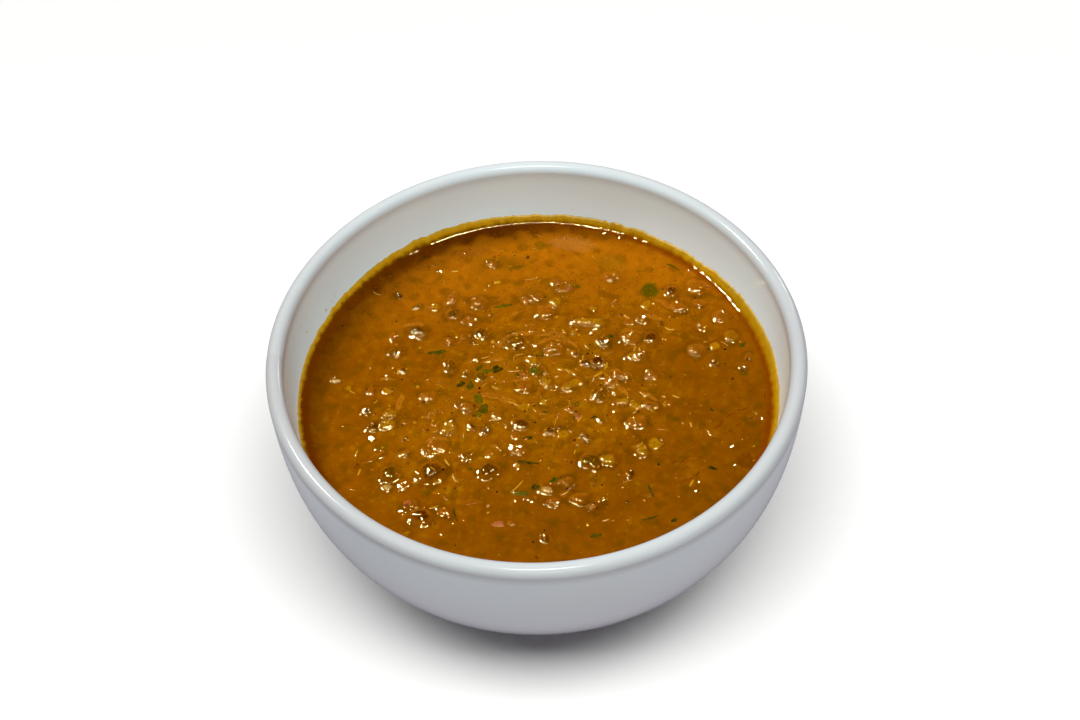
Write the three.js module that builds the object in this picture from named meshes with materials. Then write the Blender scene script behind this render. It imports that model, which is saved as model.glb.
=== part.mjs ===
// A deep white china bowl holding one serving of lentil dal.
// Millimetres, +Z up. The origin is the centre of the circle that the foot ring stands on.
//
//   bowl  one fired piece: rounded lip, full round wall, low foot ring with a recessed base
//   dal   the thick stew that fills it, up to its own uneven surface

import * as THREE from "three";

// ---- driving dimensions -------------------------------------------------

const RIM_DIAMETER = 160;
const BOWL_HEIGHT = 76;
const LIP_THICKNESS = 5;
const FOOT_DIAMETER = 76;
const FOOT_RING_WIDTH = 5;
const FOOT_RECESS = 3;
const BASE_THICKNESS = 4.5;
const DAL_BELOW_RIM = 22;

// The wall is a quarter superellipse. A higher power makes it stand straighter and turn in lower down.
const OUTER_POWER = 2.67;
const INNER_POWER = 2.4;

// The two pieces keep this gap, so that their faceted walls never share material.
const GLAZE_GAP = 0.3;

// Facets round the axis, and steps along each curved stretch of a profile.
const SEGMENTS = 64;
const WALL_STEPS = 15;
const LIP_STEPS = 6;

// ---- sizes worked out from them -----------------------------------------

const rimRadius = RIM_DIAMETER / 2;
const lipRadius = LIP_THICKNESS / 2;
const lipCentreHeight = BOWL_HEIGHT - lipRadius;
const footRadius = FOOT_DIAMETER / 2;
const footInnerRadius = footRadius - FOOT_RING_WIDTH;
const innerRadius = rimRadius - LIP_THICKNESS;
const floorHeight = FOOT_RECESS + BASE_THICKNESS;
const outerDepth = lipCentreHeight - 0.7;
const innerDepth = lipCentreHeight - floorHeight;
const dalHeight = BOWL_HEIGHT - DAL_BELOW_RIM;

// A quarter superellipse that hangs from the lip's centre height: radius at a depth, and depth at a radius.
function superellipse(radius, depth, power) {
  const other = (share) => Math.pow(Math.max(0, 1 - Math.pow(share, power)), 1 / power);
  return {
    radiusAt: (d) => radius * other(d / depth),
    depthAt: (r) => depth * other(r / radius),
  };
}

// Points down a wall, from one depth to a radius lower down, at even turns of the curve.
function wallPoints(curve, radius, fromDepth, toRadius, steps) {
  const turnAt = (r, d) => Math.atan2(d, r);
  const start = turnAt(curve.radiusAt(fromDepth), fromDepth);
  const end = turnAt(toRadius, curve.depthAt(toRadius));
  const points = [];
  for (let i = 0; i <= steps; i++) {
    const turn = start + ((end - start) * i) / steps;
    points.push(pointAtTurn(curve, radius, turn));
  }
  return points;
}

// Where a ray from the lip's centre height, at this angle below the horizontal, meets the wall.
function pointAtTurn(curve, radius, turn) {
  let low = 0;
  let high = radius;
  for (let halvings = 0; halvings < 40; halvings++) {
    const middle = (low + high) / 2;
    if (Math.atan2(curve.depthAt(middle), middle) > turn) low = middle;
    else high = middle;
  }
  return new THREE.Vector2(high, lipCentreHeight - curve.depthAt(high));
}

// Turns a profile of (radius, height) points round the Z axis.
function turned(profile) {
  return new THREE.LatheGeometry(profile, SEGMENTS).rotateX(Math.PI / 2);
}

// ---- the bowl -----------------------------------------------------------

function makeBowl() {
  const outer = superellipse(rimRadius, outerDepth, OUTER_POWER);
  const inner = superellipse(innerRadius, innerDepth, INNER_POWER);
  const edge = 1; // the foot ring's rounded edges
  const flare = 1.5; // the foot meets the wall this far outside its own radius

  const profile = [
    new THREE.Vector2(0, FOOT_RECESS),
    new THREE.Vector2(footInnerRadius - edge, FOOT_RECESS),
    new THREE.Vector2(footInnerRadius, FOOT_RECESS - edge),
    new THREE.Vector2(footInnerRadius + edge / 2, edge / 3),
    new THREE.Vector2(footInnerRadius + edge, 0),
    new THREE.Vector2(footRadius - edge, 0),
    new THREE.Vector2(footRadius - edge / 3, edge / 3),
    new THREE.Vector2(footRadius, edge),
  ];

  const outerWall = wallPoints(outer, rimRadius, 0, footRadius + flare, WALL_STEPS);
  profile.push(...outerWall.reverse());

  for (let i = 1; i < LIP_STEPS; i++) {
    const turn = (Math.PI * i) / LIP_STEPS;
    const radius = rimRadius - lipRadius + lipRadius * Math.cos(turn);
    const height = lipCentreHeight + lipRadius * Math.sin(turn);
    profile.push(new THREE.Vector2(radius, height));
  }

  const innerWall = wallPoints(inner, innerRadius, 0, 0, WALL_STEPS);
  innerWall[WALL_STEPS].x = 0;
  profile.push(...innerWall);

  const china = new THREE.MeshStandardMaterial({ color: 0xe8eae8, roughness: 0.15, metalness: 0 });
  const bowl = new THREE.Mesh(turned(profile), china);
  bowl.name = "bowl";
  return bowl;
}

// ---- the dal ------------------------------------------------------------

// The stew climbs the china a little where it meets it.
const MENISCUS_RISE = 1;
const MENISCUS_REACH = 1.6;

// Long low swells left by the ladle: [waves across the bowl along x, along y, height].
const SWELLS = [
  [1.3, 0.6, 0.22],
  [-0.8, 1.9, 0.16],
  [2.4, -1.5, 0.1],
];

// Clumps of lentils that lift the surface, thickest in the middle of the bowl.
const CLUMPS = 26;
const CLUMP_HEIGHT = 0.55;
const CLUMP_RADIUS = 5.5;
const CLUMP_FIELD = 0.8; // as a share of the surface's radius
const GOLDEN_ANGLE = Math.PI * (3 - Math.sqrt(5));

const CALM_EDGE = 7; // the swells and clumps fade out over this width next to the china

function clumpPlaces(fieldRadius) {
  const places = [];
  for (let i = 0; i < CLUMPS; i++) {
    const radius = fieldRadius * Math.pow((i + 0.5) / CLUMPS, 0.62);
    const angle = i * GOLDEN_ANGLE;
    places.push(new THREE.Vector2(radius * Math.cos(angle), radius * Math.sin(angle)));
  }
  return places;
}

// How far the surface stands above its mean height at (x, y), away from the meniscus.
function reliefAt(x, y, surfaceRadius, clumps) {
  let height = 0;
  for (const [alongX, alongY, swell] of SWELLS) {
    height += swell * Math.sin((Math.PI * (alongX * x + alongY * y)) / surfaceRadius);
  }
  for (const clump of clumps) {
    const away = Math.hypot(x - clump.x, y - clump.y) / CLUMP_RADIUS;
    height += CLUMP_HEIGHT * Math.exp(-away * away);
  }
  const fromEdge = surfaceRadius - Math.hypot(x, y);
  return height * THREE.MathUtils.smoothstep(fromEdge, 0, CALM_EDGE);
}

function makeDal() {
  const radius = innerRadius - GLAZE_GAP;
  const wall = superellipse(radius, innerDepth - GLAZE_GAP, INNER_POWER);
  const edgeHeight = dalHeight + MENISCUS_RISE;
  const edgeDepth = lipCentreHeight - edgeHeight;
  const surfaceRadius = wall.radiusAt(edgeDepth);

  // From the lowest point up the wall to the edge, then in across the surface to the middle.
  const wallSteps = 11;
  const side = wallPoints(wall, radius, edgeDepth, 0, wallSteps).reverse();
  side[0].x = 0;

  const surface = [];
  const surfaceRings = 17;
  for (let i = 1; i <= surfaceRings; i++) {
    const fromEdge = surfaceRadius * Math.pow(i / surfaceRings, 1.45);
    const height = dalHeight + MENISCUS_RISE * Math.exp(-fromEdge / MENISCUS_REACH);
    surface.push(new THREE.Vector2(i === surfaceRings ? 0 : surfaceRadius - fromEdge, height));
  }

  const geometry = turned([...side, ...surface]);
  const clumps = clumpPlaces(surfaceRadius * CLUMP_FIELD);
  const place = geometry.getAttribute("position");
  for (let i = 0; i < place.count; i++) {
    if (place.getZ(i) < dalHeight) continue;
    const relief = reliefAt(place.getX(i), place.getY(i), surfaceRadius, clumps);
    place.setZ(i, place.getZ(i) + relief);
  }
  geometry.computeVertexNormals();

  const stew = new THREE.MeshStandardMaterial({ color: 0xa06408, roughness: 0.2, metalness: 0 });
  const dal = new THREE.Mesh(geometry, stew);
  dal.name = "dal";
  return dal;
}

// ---- the object ---------------------------------------------------------

const servedDal = new THREE.Group();
servedDal.name = "served_dal";
servedDal.add(makeBowl(), makeDal());

export default servedDal;
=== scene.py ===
import math

import bpy
import numpy as np
from mathutils import Matrix, Vector


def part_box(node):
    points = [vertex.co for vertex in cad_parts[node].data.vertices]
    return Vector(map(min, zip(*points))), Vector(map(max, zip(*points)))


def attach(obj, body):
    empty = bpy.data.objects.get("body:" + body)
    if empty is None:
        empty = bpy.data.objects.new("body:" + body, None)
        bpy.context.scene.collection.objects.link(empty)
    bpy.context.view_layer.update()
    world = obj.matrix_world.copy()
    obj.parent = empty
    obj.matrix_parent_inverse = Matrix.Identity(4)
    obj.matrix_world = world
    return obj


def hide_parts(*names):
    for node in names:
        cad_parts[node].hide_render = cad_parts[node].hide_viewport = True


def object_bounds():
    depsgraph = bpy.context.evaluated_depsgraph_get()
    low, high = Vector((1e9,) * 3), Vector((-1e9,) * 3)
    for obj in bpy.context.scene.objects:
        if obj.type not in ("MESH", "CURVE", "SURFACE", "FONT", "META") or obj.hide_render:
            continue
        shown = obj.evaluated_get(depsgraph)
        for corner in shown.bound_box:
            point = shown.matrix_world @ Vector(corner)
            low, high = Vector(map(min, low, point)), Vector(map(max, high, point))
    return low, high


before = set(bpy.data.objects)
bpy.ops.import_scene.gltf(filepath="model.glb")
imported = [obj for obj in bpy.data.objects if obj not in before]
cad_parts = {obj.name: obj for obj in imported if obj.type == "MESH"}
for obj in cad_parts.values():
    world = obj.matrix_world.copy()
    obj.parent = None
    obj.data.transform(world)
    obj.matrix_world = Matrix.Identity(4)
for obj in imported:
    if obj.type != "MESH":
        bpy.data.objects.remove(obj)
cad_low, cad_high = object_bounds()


# ---- The diner's view ----------------------------------------------------------------
# A camera above the near edge of the table, looking down into the bowl. What lies in the dal is
# placed by where this camera sees it: so far across and down a frame of 1080 by 720.

MM = 0.001
FRAME_ACROSS = 1080
FRAME_DOWN = 720
LENS_MM = 50
SENSOR_MM = 36
CAMERA_ELEVATION = math.radians(49.59)
CAMERA_ROLL = -0.0356
RIM_RADII_AWAY = 5.548
RIM_CENTRE_ACROSS = 536.4
RIM_CENTRE_DOWN = 342.4

rim_radius = (cad_high.x - cad_low.x) / 2 / MM
rim_height = cad_high.z / MM
focal = LENS_MM / SENSOR_MM * FRAME_ACROSS
across = Vector((1, 0, 0))
ahead = Vector((0, math.cos(CAMERA_ELEVATION), -math.sin(CAMERA_ELEVATION)))
upward = Vector((0, math.sin(CAMERA_ELEVATION), math.cos(CAMERA_ELEVATION)))
eye = Vector((0, 0, rim_height)) - ahead * rim_radius * RIM_RADII_AWAY

# The camera turns and nods a little, so that the rim's centre comes where it should, and then rolls.
turn = math.atan2(RIM_CENTRE_ACROSS - FRAME_ACROSS / 2, focal)
nod = math.atan2(RIM_CENTRE_DOWN - FRAME_DOWN / 2, focal)
turned_across = across * math.cos(turn) + ahead * math.sin(turn)
turned_ahead = ahead * math.cos(turn) - across * math.sin(turn)
nodded_up = upward * math.cos(nod) - turned_ahead * math.sin(nod)
nodded_ahead = upward * math.sin(nod) + turned_ahead * math.cos(nod)
camera_x = turned_across * math.cos(CAMERA_ROLL) + nodded_up * math.sin(CAMERA_ROLL)
camera_y = nodded_up * math.cos(CAMERA_ROLL) - turned_across * math.sin(CAMERA_ROLL)

camera_data = bpy.data.cameras.new("diner_view")
camera_data.lens = LENS_MM
camera_data.sensor_width = SENSOR_MM
camera_data.clip_start = 0.01
camera_data.clip_end = 20
camera = bpy.data.objects.new("diner_view", camera_data)
bpy.context.scene.collection.objects.link(camera)
camera_axes = Matrix((camera_x, camera_y, -nodded_ahead)).transposed()
camera.matrix_world = Matrix.Translation(eye * MM) @ camera_axes.to_4x4()
bpy.context.scene.camera = camera


def seen_at(frame_across, frame_down, height):
    """Where the camera's sight line through a place in its frame comes down to a height: x and y in mm."""
    line = camera_x * (frame_across - FRAME_ACROSS / 2)
    line -= camera_y * (frame_down - FRAME_DOWN / 2)
    line += nodded_ahead * focal
    reach = (height - eye.z) / line.z
    return eye.x + line.x * reach, eye.y + line.y * reach


# ---- The bowl ------------------------------------------------------------------------
# White china: slip cast in one piece with its low foot ring, glazed and fired. The glaze is glossy
# and a little uneven, and the ring it stands on is wiped bare.

LIP_THICK = 5
FOOT_ACROSS = 76
FOOT_RING_WIDE = 5
FOOT_RECESS = 3
FOOT_EDGE = 1
BASE_THICK = 4.5
OUTER_POWER = 2.67
INNER_POWER = 2.4
OUTER_CURVE_BOTTOM = 0.7
OUTER_CURVE_END = 0.1
FOOT_FLARE = 2.2
CHINA_STEPS_ROUND = 288
WALL_STEPS = 90
LIP_STEPS = 18
EDGE_STEPS = 5

lip_round = LIP_THICK / 2
lip_height = rim_height - lip_round
inside_radius = rim_radius - LIP_THICK
inside_depth = lip_height - FOOT_RECESS - BASE_THICK
outside_depth = lip_height - OUTER_CURVE_BOTTOM


def superellipse(depth, radius, full_depth, power):
    """The wall's radius at a depth below the middle of the lip."""
    share = np.clip(np.asarray(depth, float) / full_depth, 0, 1)
    return radius * (1 - share**power) ** (1 / power)


def china_inside(height):
    """The radius of the china's inner face at a height."""
    return superellipse(lip_height - height, inside_radius, inside_depth, INNER_POWER)


def arc(centre, radius, start, end, steps):
    """Points (out, up) on an arc of a profile, with angles in degrees from straight out."""
    angles = np.radians(np.linspace(start, end, steps + 1))
    return [(centre[0] + radius * math.cos(a), centre[1] + radius * math.sin(a)) for a in angles]


def wall(radius, full_depth, power, end_radius, steps):
    """Points down a wall from the lip, crowded where it turns in at the bottom."""
    points = []
    end_turn = math.acos(end_radius / radius)
    for turn_now in np.linspace(0, end_turn, steps + 1):
        out = math.cos(turn_now) ** (2 / power) if turn_now < math.pi / 2 else 0
        points.append((radius * out, lip_height - full_depth * math.sin(turn_now) ** (2 / power)))
    return points


def china_profile():
    """The bowl's outline: out under it, round the foot ring, up its side, over the lip and down inside."""
    ring_out = FOOT_ACROSS / 2
    ring_in = ring_out - FOOT_RING_WIDE
    points = [(0, FOOT_RECESS), (ring_in * 0.5, FOOT_RECESS), (ring_in - FOOT_EDGE * 1.5, FOOT_RECESS)]
    points += arc((ring_in - FOOT_EDGE, FOOT_RECESS - FOOT_EDGE), FOOT_EDGE, 90, 0, EDGE_STEPS)
    points += arc((ring_in + FOOT_EDGE, FOOT_EDGE), FOOT_EDGE, 180, 270, EDGE_STEPS)
    points += arc((ring_out - FOOT_EDGE, FOOT_EDGE), FOOT_EDGE, 270, 360, EDGE_STEPS)
    outer = wall(rim_radius, outside_depth, OUTER_POWER, rim_radius * OUTER_CURVE_END, WALL_STEPS)
    standing = [point for point in outer if point[0] > ring_out + FOOT_FLARE]
    join_height = standing[-1][1]
    points += arc((ring_out + FOOT_FLARE, join_height - FOOT_FLARE * 0.6), FOOT_FLARE, 180, 115, 6)
    points += standing[::-1]
    points += arc((rim_radius - lip_round, lip_height), lip_round, 0, 180, LIP_STEPS)[1:-1]
    points += wall(inside_radius, inside_depth, INNER_POWER, 0, WALL_STEPS)
    return points


def even_turns(sides):
    """So many even directions round a circle."""
    return np.arange(sides) * 2 * math.pi / sides


def neighbours(sides):
    """Each point of a ring with the one after it."""
    return [(i, (i + 1) % sides) for i in range(sides)]


def closed_rings(rings, sides):
    """Faces that join a top point, rings of so many points below it, and a bottom point."""
    pairs = neighbours(sides)
    faces = [(0, 1 + i, 1 + j) for i, j in pairs]
    for a in range(1, 1 + (rings - 1) * sides, sides):
        faces += [(a + i, a + sides + i, a + sides + j, a + j) for i, j in pairs]
    last = 1 + (rings - 1) * sides
    return faces + [(last + i, last + sides, last + j) for i, j in pairs]


def lathe(profile, steps_round):
    """Turns a profile from the bottom of the axis to its top: points in mm, and faces."""
    angles = even_turns(steps_round)
    out, up = np.array(profile[1:-1]).T[:, :, None]
    ring_points = np.stack([out * np.cos(angles), out * np.sin(angles), up + 0 * angles], -1)
    points = np.vstack([[(0, 0, profile[0][1])], ring_points.reshape(-1, 3), [(0, 0, profile[-1][1])]])
    return points, [(face[0], *face[:0:-1]) for face in closed_rings(len(profile) - 2, steps_round)]


def shape(name, points, faces, finish, tint=None, values=None, facing_at=None):
    """A smooth mesh object from points in mm, with a colour for each point where the finish reads one."""
    mesh = bpy.data.meshes.new(name)
    mesh.from_pydata(np.asarray(points, float) * MM, [], faces)
    mesh.update()
    mesh.shade_smooth()
    if tint is not None:
        colours = mesh.color_attributes.new("tint", "FLOAT_COLOR", "POINT")
        opaque = np.column_stack([tint, np.ones(len(tint))])
        colours.data.foreach_set("color", opaque.astype(np.float32).ravel())
    for key, value in (values or {}).items():
        attribute = mesh.attributes.new(key, "FLOAT", "POINT")
        attribute.data.foreach_set("value", np.asarray(value, np.float32))
    if facing_at is not None:
        mesh.normals_split_custom_set_from_vertices(facing_at)
    mesh.materials.append(finish)
    obj = bpy.data.objects.new(name, mesh)
    bpy.context.scene.collection.objects.link(obj)
    return obj


def linear(red, green, blue):
    """A colour as seen on a screen, from 0 to 255, as the light that a finish works in."""
    shares = np.array([red, green, blue], float) / 255
    return np.where(shares <= 0.04045, shares / 12.92, ((shares + 0.055) / 1.055) ** 2.4)


class Finish:
    """A procedural material, built up node by node."""

    def __init__(self, name):
        self.material = bpy.data.materials.new(name)
        self.material.use_nodes = True
        self.nodes = self.material.node_tree.nodes
        self.shader = self.nodes["Principled BSDF"]
        self.place = self.nodes.new("ShaderNodeTexCoord").outputs["Object"]

    def add(self, kind, **inputs):
        node = self.nodes.new(kind)
        for key, value in inputs.items():
            self.put(node, key.replace("_", " "), value)
        return node

    def feed(self, socket, value):
        """Links a socket to another one, or sets it to a value."""
        if isinstance(value, bpy.types.NodeSocket):
            self.material.node_tree.links.new(value, socket)
        else:
            socket.default_value = value

    def put(self, node, key, value):
        found = [s for s in node.inputs if s.name == key and s.enabled]
        self.feed(found[0] if found else node.inputs[key], value)

    def dress(self, **inputs):
        """Sets the shader's own inputs, and gives back the finished material."""
        for key, value in inputs.items():
            self.put(self.shader, key.replace("_", " "), value)
        return self.material

    def spread(self, value, low=0.0, high=1.0, start=0.0, end=1.0):
        """A value stretched so that start becomes low and end becomes high, and held level beyond them."""
        limits = {"From_Min": start, "From_Max": end, "To_Min": low, "To_Max": high}
        return self.add("ShaderNodeMapRange", Value=value, **limits).outputs["Result"]

    def mottle(self, size_mm, low, high, detail=2.0, sharp=0.5, shift=0.0):
        """A soft random pattern with patches of about this size, from low to high."""
        place = self.add("ShaderNodeMapping", Vector=self.place, Location=(shift, shift * 0.7, shift * 0.3))
        pattern = self.add("ShaderNodeTexNoise", Vector=place.outputs["Vector"],
                           Scale=1 / (size_mm * MM), Detail=detail, Roughness=0.55)
        return self.spread(pattern.outputs["Fac"], low, high, 0.5 - sharp / 2, 0.5 + sharp / 2)

    def read(self, attribute, output="Fac"):
        node = self.nodes.new("ShaderNodeAttribute")
        node.attribute_name = attribute
        return node.outputs[output]

    def mix(self, share, first, second, how="MIX"):
        node = self.nodes.new("ShaderNodeMix")
        node.data_type = "RGBA"
        node.blend_type = how
        self.put(node, "Factor", share)
        sockets = [s for s in node.inputs if s.type == "RGBA"]
        for socket, value in zip(sockets, (first, second)):
            self.feed(socket, value if isinstance(value, bpy.types.NodeSocket) else (*value, 1))
        return [s for s in node.outputs if s.type == "RGBA"][0]

    def sum(self, first, second, how="ADD"):
        node = self.nodes.new("ShaderNodeMath")
        node.operation = how
        for socket, value in zip(node.inputs, (first, second)):
            self.feed(socket, value)
        return node.outputs["Value"]

    def bump(self, height, depth_mm, strength=1.0, before=None):
        under = {} if before is None else {"Normal": before}
        node = self.add("ShaderNodeBump", Height=height, Strength=strength, Distance=depth_mm * MM, **under)
        return node.outputs["Normal"]


# The heights between which the ring's bare biscuit gives way to glaze.
BARE_TO = 0.4
GLAZED_FROM = 0.9


def china_finish():
    china = Finish("white_glaze")
    outside = china.mix(china.mottle(45, 0, 1), linear(232, 235, 236), linear(238, 239, 238))
    # Painted light: the inside is lighter and cooler than the outside. Painted shade: the lip is greyer.
    painted_inner_light = china.mix(china.mottle(45, 0, 1), linear(238, 246, 247), linear(242, 250, 250))
    glaze = china.mix(china.read("inside"), outside, painted_inner_light)
    glaze = china.mix(china.read("lip"), glaze, linear(190, 184, 182))
    height = china.add("ShaderNodeSeparateXYZ", Vector=china.place).outputs["Z"]
    bare = china.spread(height, start=GLAZED_FROM * MM, end=BARE_TO * MM)
    biscuit = china.mix(china.mottle(0.8, 0, 1), linear(214, 206, 192), linear(228, 222, 210))
    ripple = china.bump(china.mottle(11, 0, 1), 0.05, 0.35)
    return china.dress(Base_Color=china.mix(bare, glaze, biscuit),
                       Roughness=china.sum(china.mottle(14, 0.13, 0.19), china.sum(bare, 0.5, "MULTIPLY")),
                       Normal=china.bump(china.mottle(1.1, 0, 1), 0.004, 0.3, ripple),
                       IOR=1.5)


def by_direction(table, angle):
    """A value that changes round the bowl, read from a table of directions in degrees and values."""
    return np.interp(np.degrees(angle), *zip(*table))


# Painted light and shade: the inside is painted lighter and cooler than the outside, and the lip is painted
# with shade, most at the left and least at the back.
# Directions are in degrees: 0 is to the right, 90 behind, 180 to the left and -90 in front.
INSIDE_FROM = 2.5
INSIDE_BLEND = 2
INSIDE_FLOOR = 8
LIP_BLEND = 3
LIP_SHADE_PAINT = ((-180, 1.0), (-120, 0.85), (-90, 0.65), (-60, 0.7), (0, 0.9), (45, 0.65), (90, 0.45),
            (135, 0.65), (180, 0.9))

china_points, china_faces = lathe(china_profile(), CHINA_STEPS_ROUND)
china_x, china_y, china_z = china_points.T
inner_face = china_inside(np.clip(china_z, INSIDE_FLOOR, lip_height))
inside = np.clip((inner_face + INSIDE_FROM - np.hypot(china_x, china_y)) / INSIDE_BLEND, 0, 1)
inside = inside * (china_z > FOOT_RECESS + INSIDE_BLEND)
# The lip's painted shade, stronger in some directions than in others.
lip_shade_paint = np.clip((china_z - lip_height + LIP_BLEND) / LIP_BLEND, 0, 1)
lip_shade_paint = lip_shade_paint * by_direction(LIP_SHADE_PAINT, np.arctan2(china_y, china_x))
bowl = shape("china_bowl", china_points, china_faces, china_finish(),
             values={"inside": inside, "lip": lip_shade_paint})
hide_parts("bowl")
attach(bowl, "root")


# ---- The lentils ---------------------------------------------------------------------
# Whole brown lentils and pieces of split ones, cooked soft, that float with only their tops out
# of the sauce. Most keep a brown or reddish skin under a film of sauce, and some tops are bare.

RANDOM = np.random.default_rng(7)

dal_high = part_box("dal")[1]
SURFACE_BELOW_TOP = 1.7
DAL_LEVEL = dal_high.z / MM - SURFACE_BELOW_TOP
DAL_RADIUS = float(china_inside(DAL_LEVEL))
LUMP_LEVEL = DAL_LEVEL + 0.5

DARK_RED = linear(90, 34, 1)
BROWN = linear(98, 50, 1)
OLIVE = linear(106, 68, 2)
TAN = linear(180, 106, 12)
YELLOW = linear(214, 150, 8)
ORANGE = linear(184, 102, 10)
# The tone of pale bits, and also a painted highlight on one lentil at the front.
PALE_BITS_AND_HIGHLIGHT = linear(222, 176, 90)
FOLD = linear(206, 124, 22)


def turned_by(turn, along, beside):
    """x and y of a place that lies so far along a direction and beside it."""
    cosine, sine = math.cos(turn), math.sin(turn)
    return along * cosine - beside * sine, along * sine + beside * cosine


class Lump:
    """Something that lifts the sauce. Its place and size are in mm, and steep is its side's slope."""

    def __init__(self, x, y, long, wide, turn=0.0, steep=0.7, skin=TAN, bare=0.0, skirt=0.7, cover=0.6,
                 flat=2.6, bend=0.0):
        self.x, self.y = x, y
        self.long, self.wide = long / 2, wide / 2
        self.narrow = min(self.long, self.wide)
        self.turn, self.bend = turn, bend
        self.steep, self.flat, self.skirt = steep, flat, skirt
        self.skin, self.bare, self.cover = skin, bare, cover

    def off(self, x, y):
        """How far places are from the lump's middle, where 1 is its edge all round."""
        along, beside = turned_by(-self.turn, x - self.x, y - self.y)
        return np.hypot(along / self.long, (beside - self.bend * along**2) / self.wide)

    def around(self, x, y, reach):
        """Which places lie within this many mm of the lump, and how far off those are."""
        near = (abs(x - self.x) < self.long + reach) & (abs(y - self.y) < self.long + reach)
        return near, self.off(x[near], y[near])

    def place(self, along, beside):
        """The x and y of a place given in the lump's own half widths."""
        along = along * self.long
        dx, dy = turned_by(self.turn, along, beside * self.wide + self.bend * along**2)
        return self.x + dx, self.y + dy

    def height(self, off):
        """A rounded cap, and round it the sauce that climbs its side."""
        climbed = self.steep * self.skirt
        cap = self.steep * self.narrow / self.flat * (1 - np.minimum(off, 1) ** self.flat) + climbed
        skirt = climbed * np.exp(-np.maximum(off - 1, 0) * self.narrow / self.skirt)
        return np.where(off < 1, cap, skirt)


def seen_lump(across, down, long, wide, turn, *look, **more):
    """A lump at a place in the diner's view, turned by degrees."""
    x, y = seen_at(across, down, LUMP_LEVEL)
    return Lump(x, y, long, wide, math.radians(turn), *look, **more)


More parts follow.
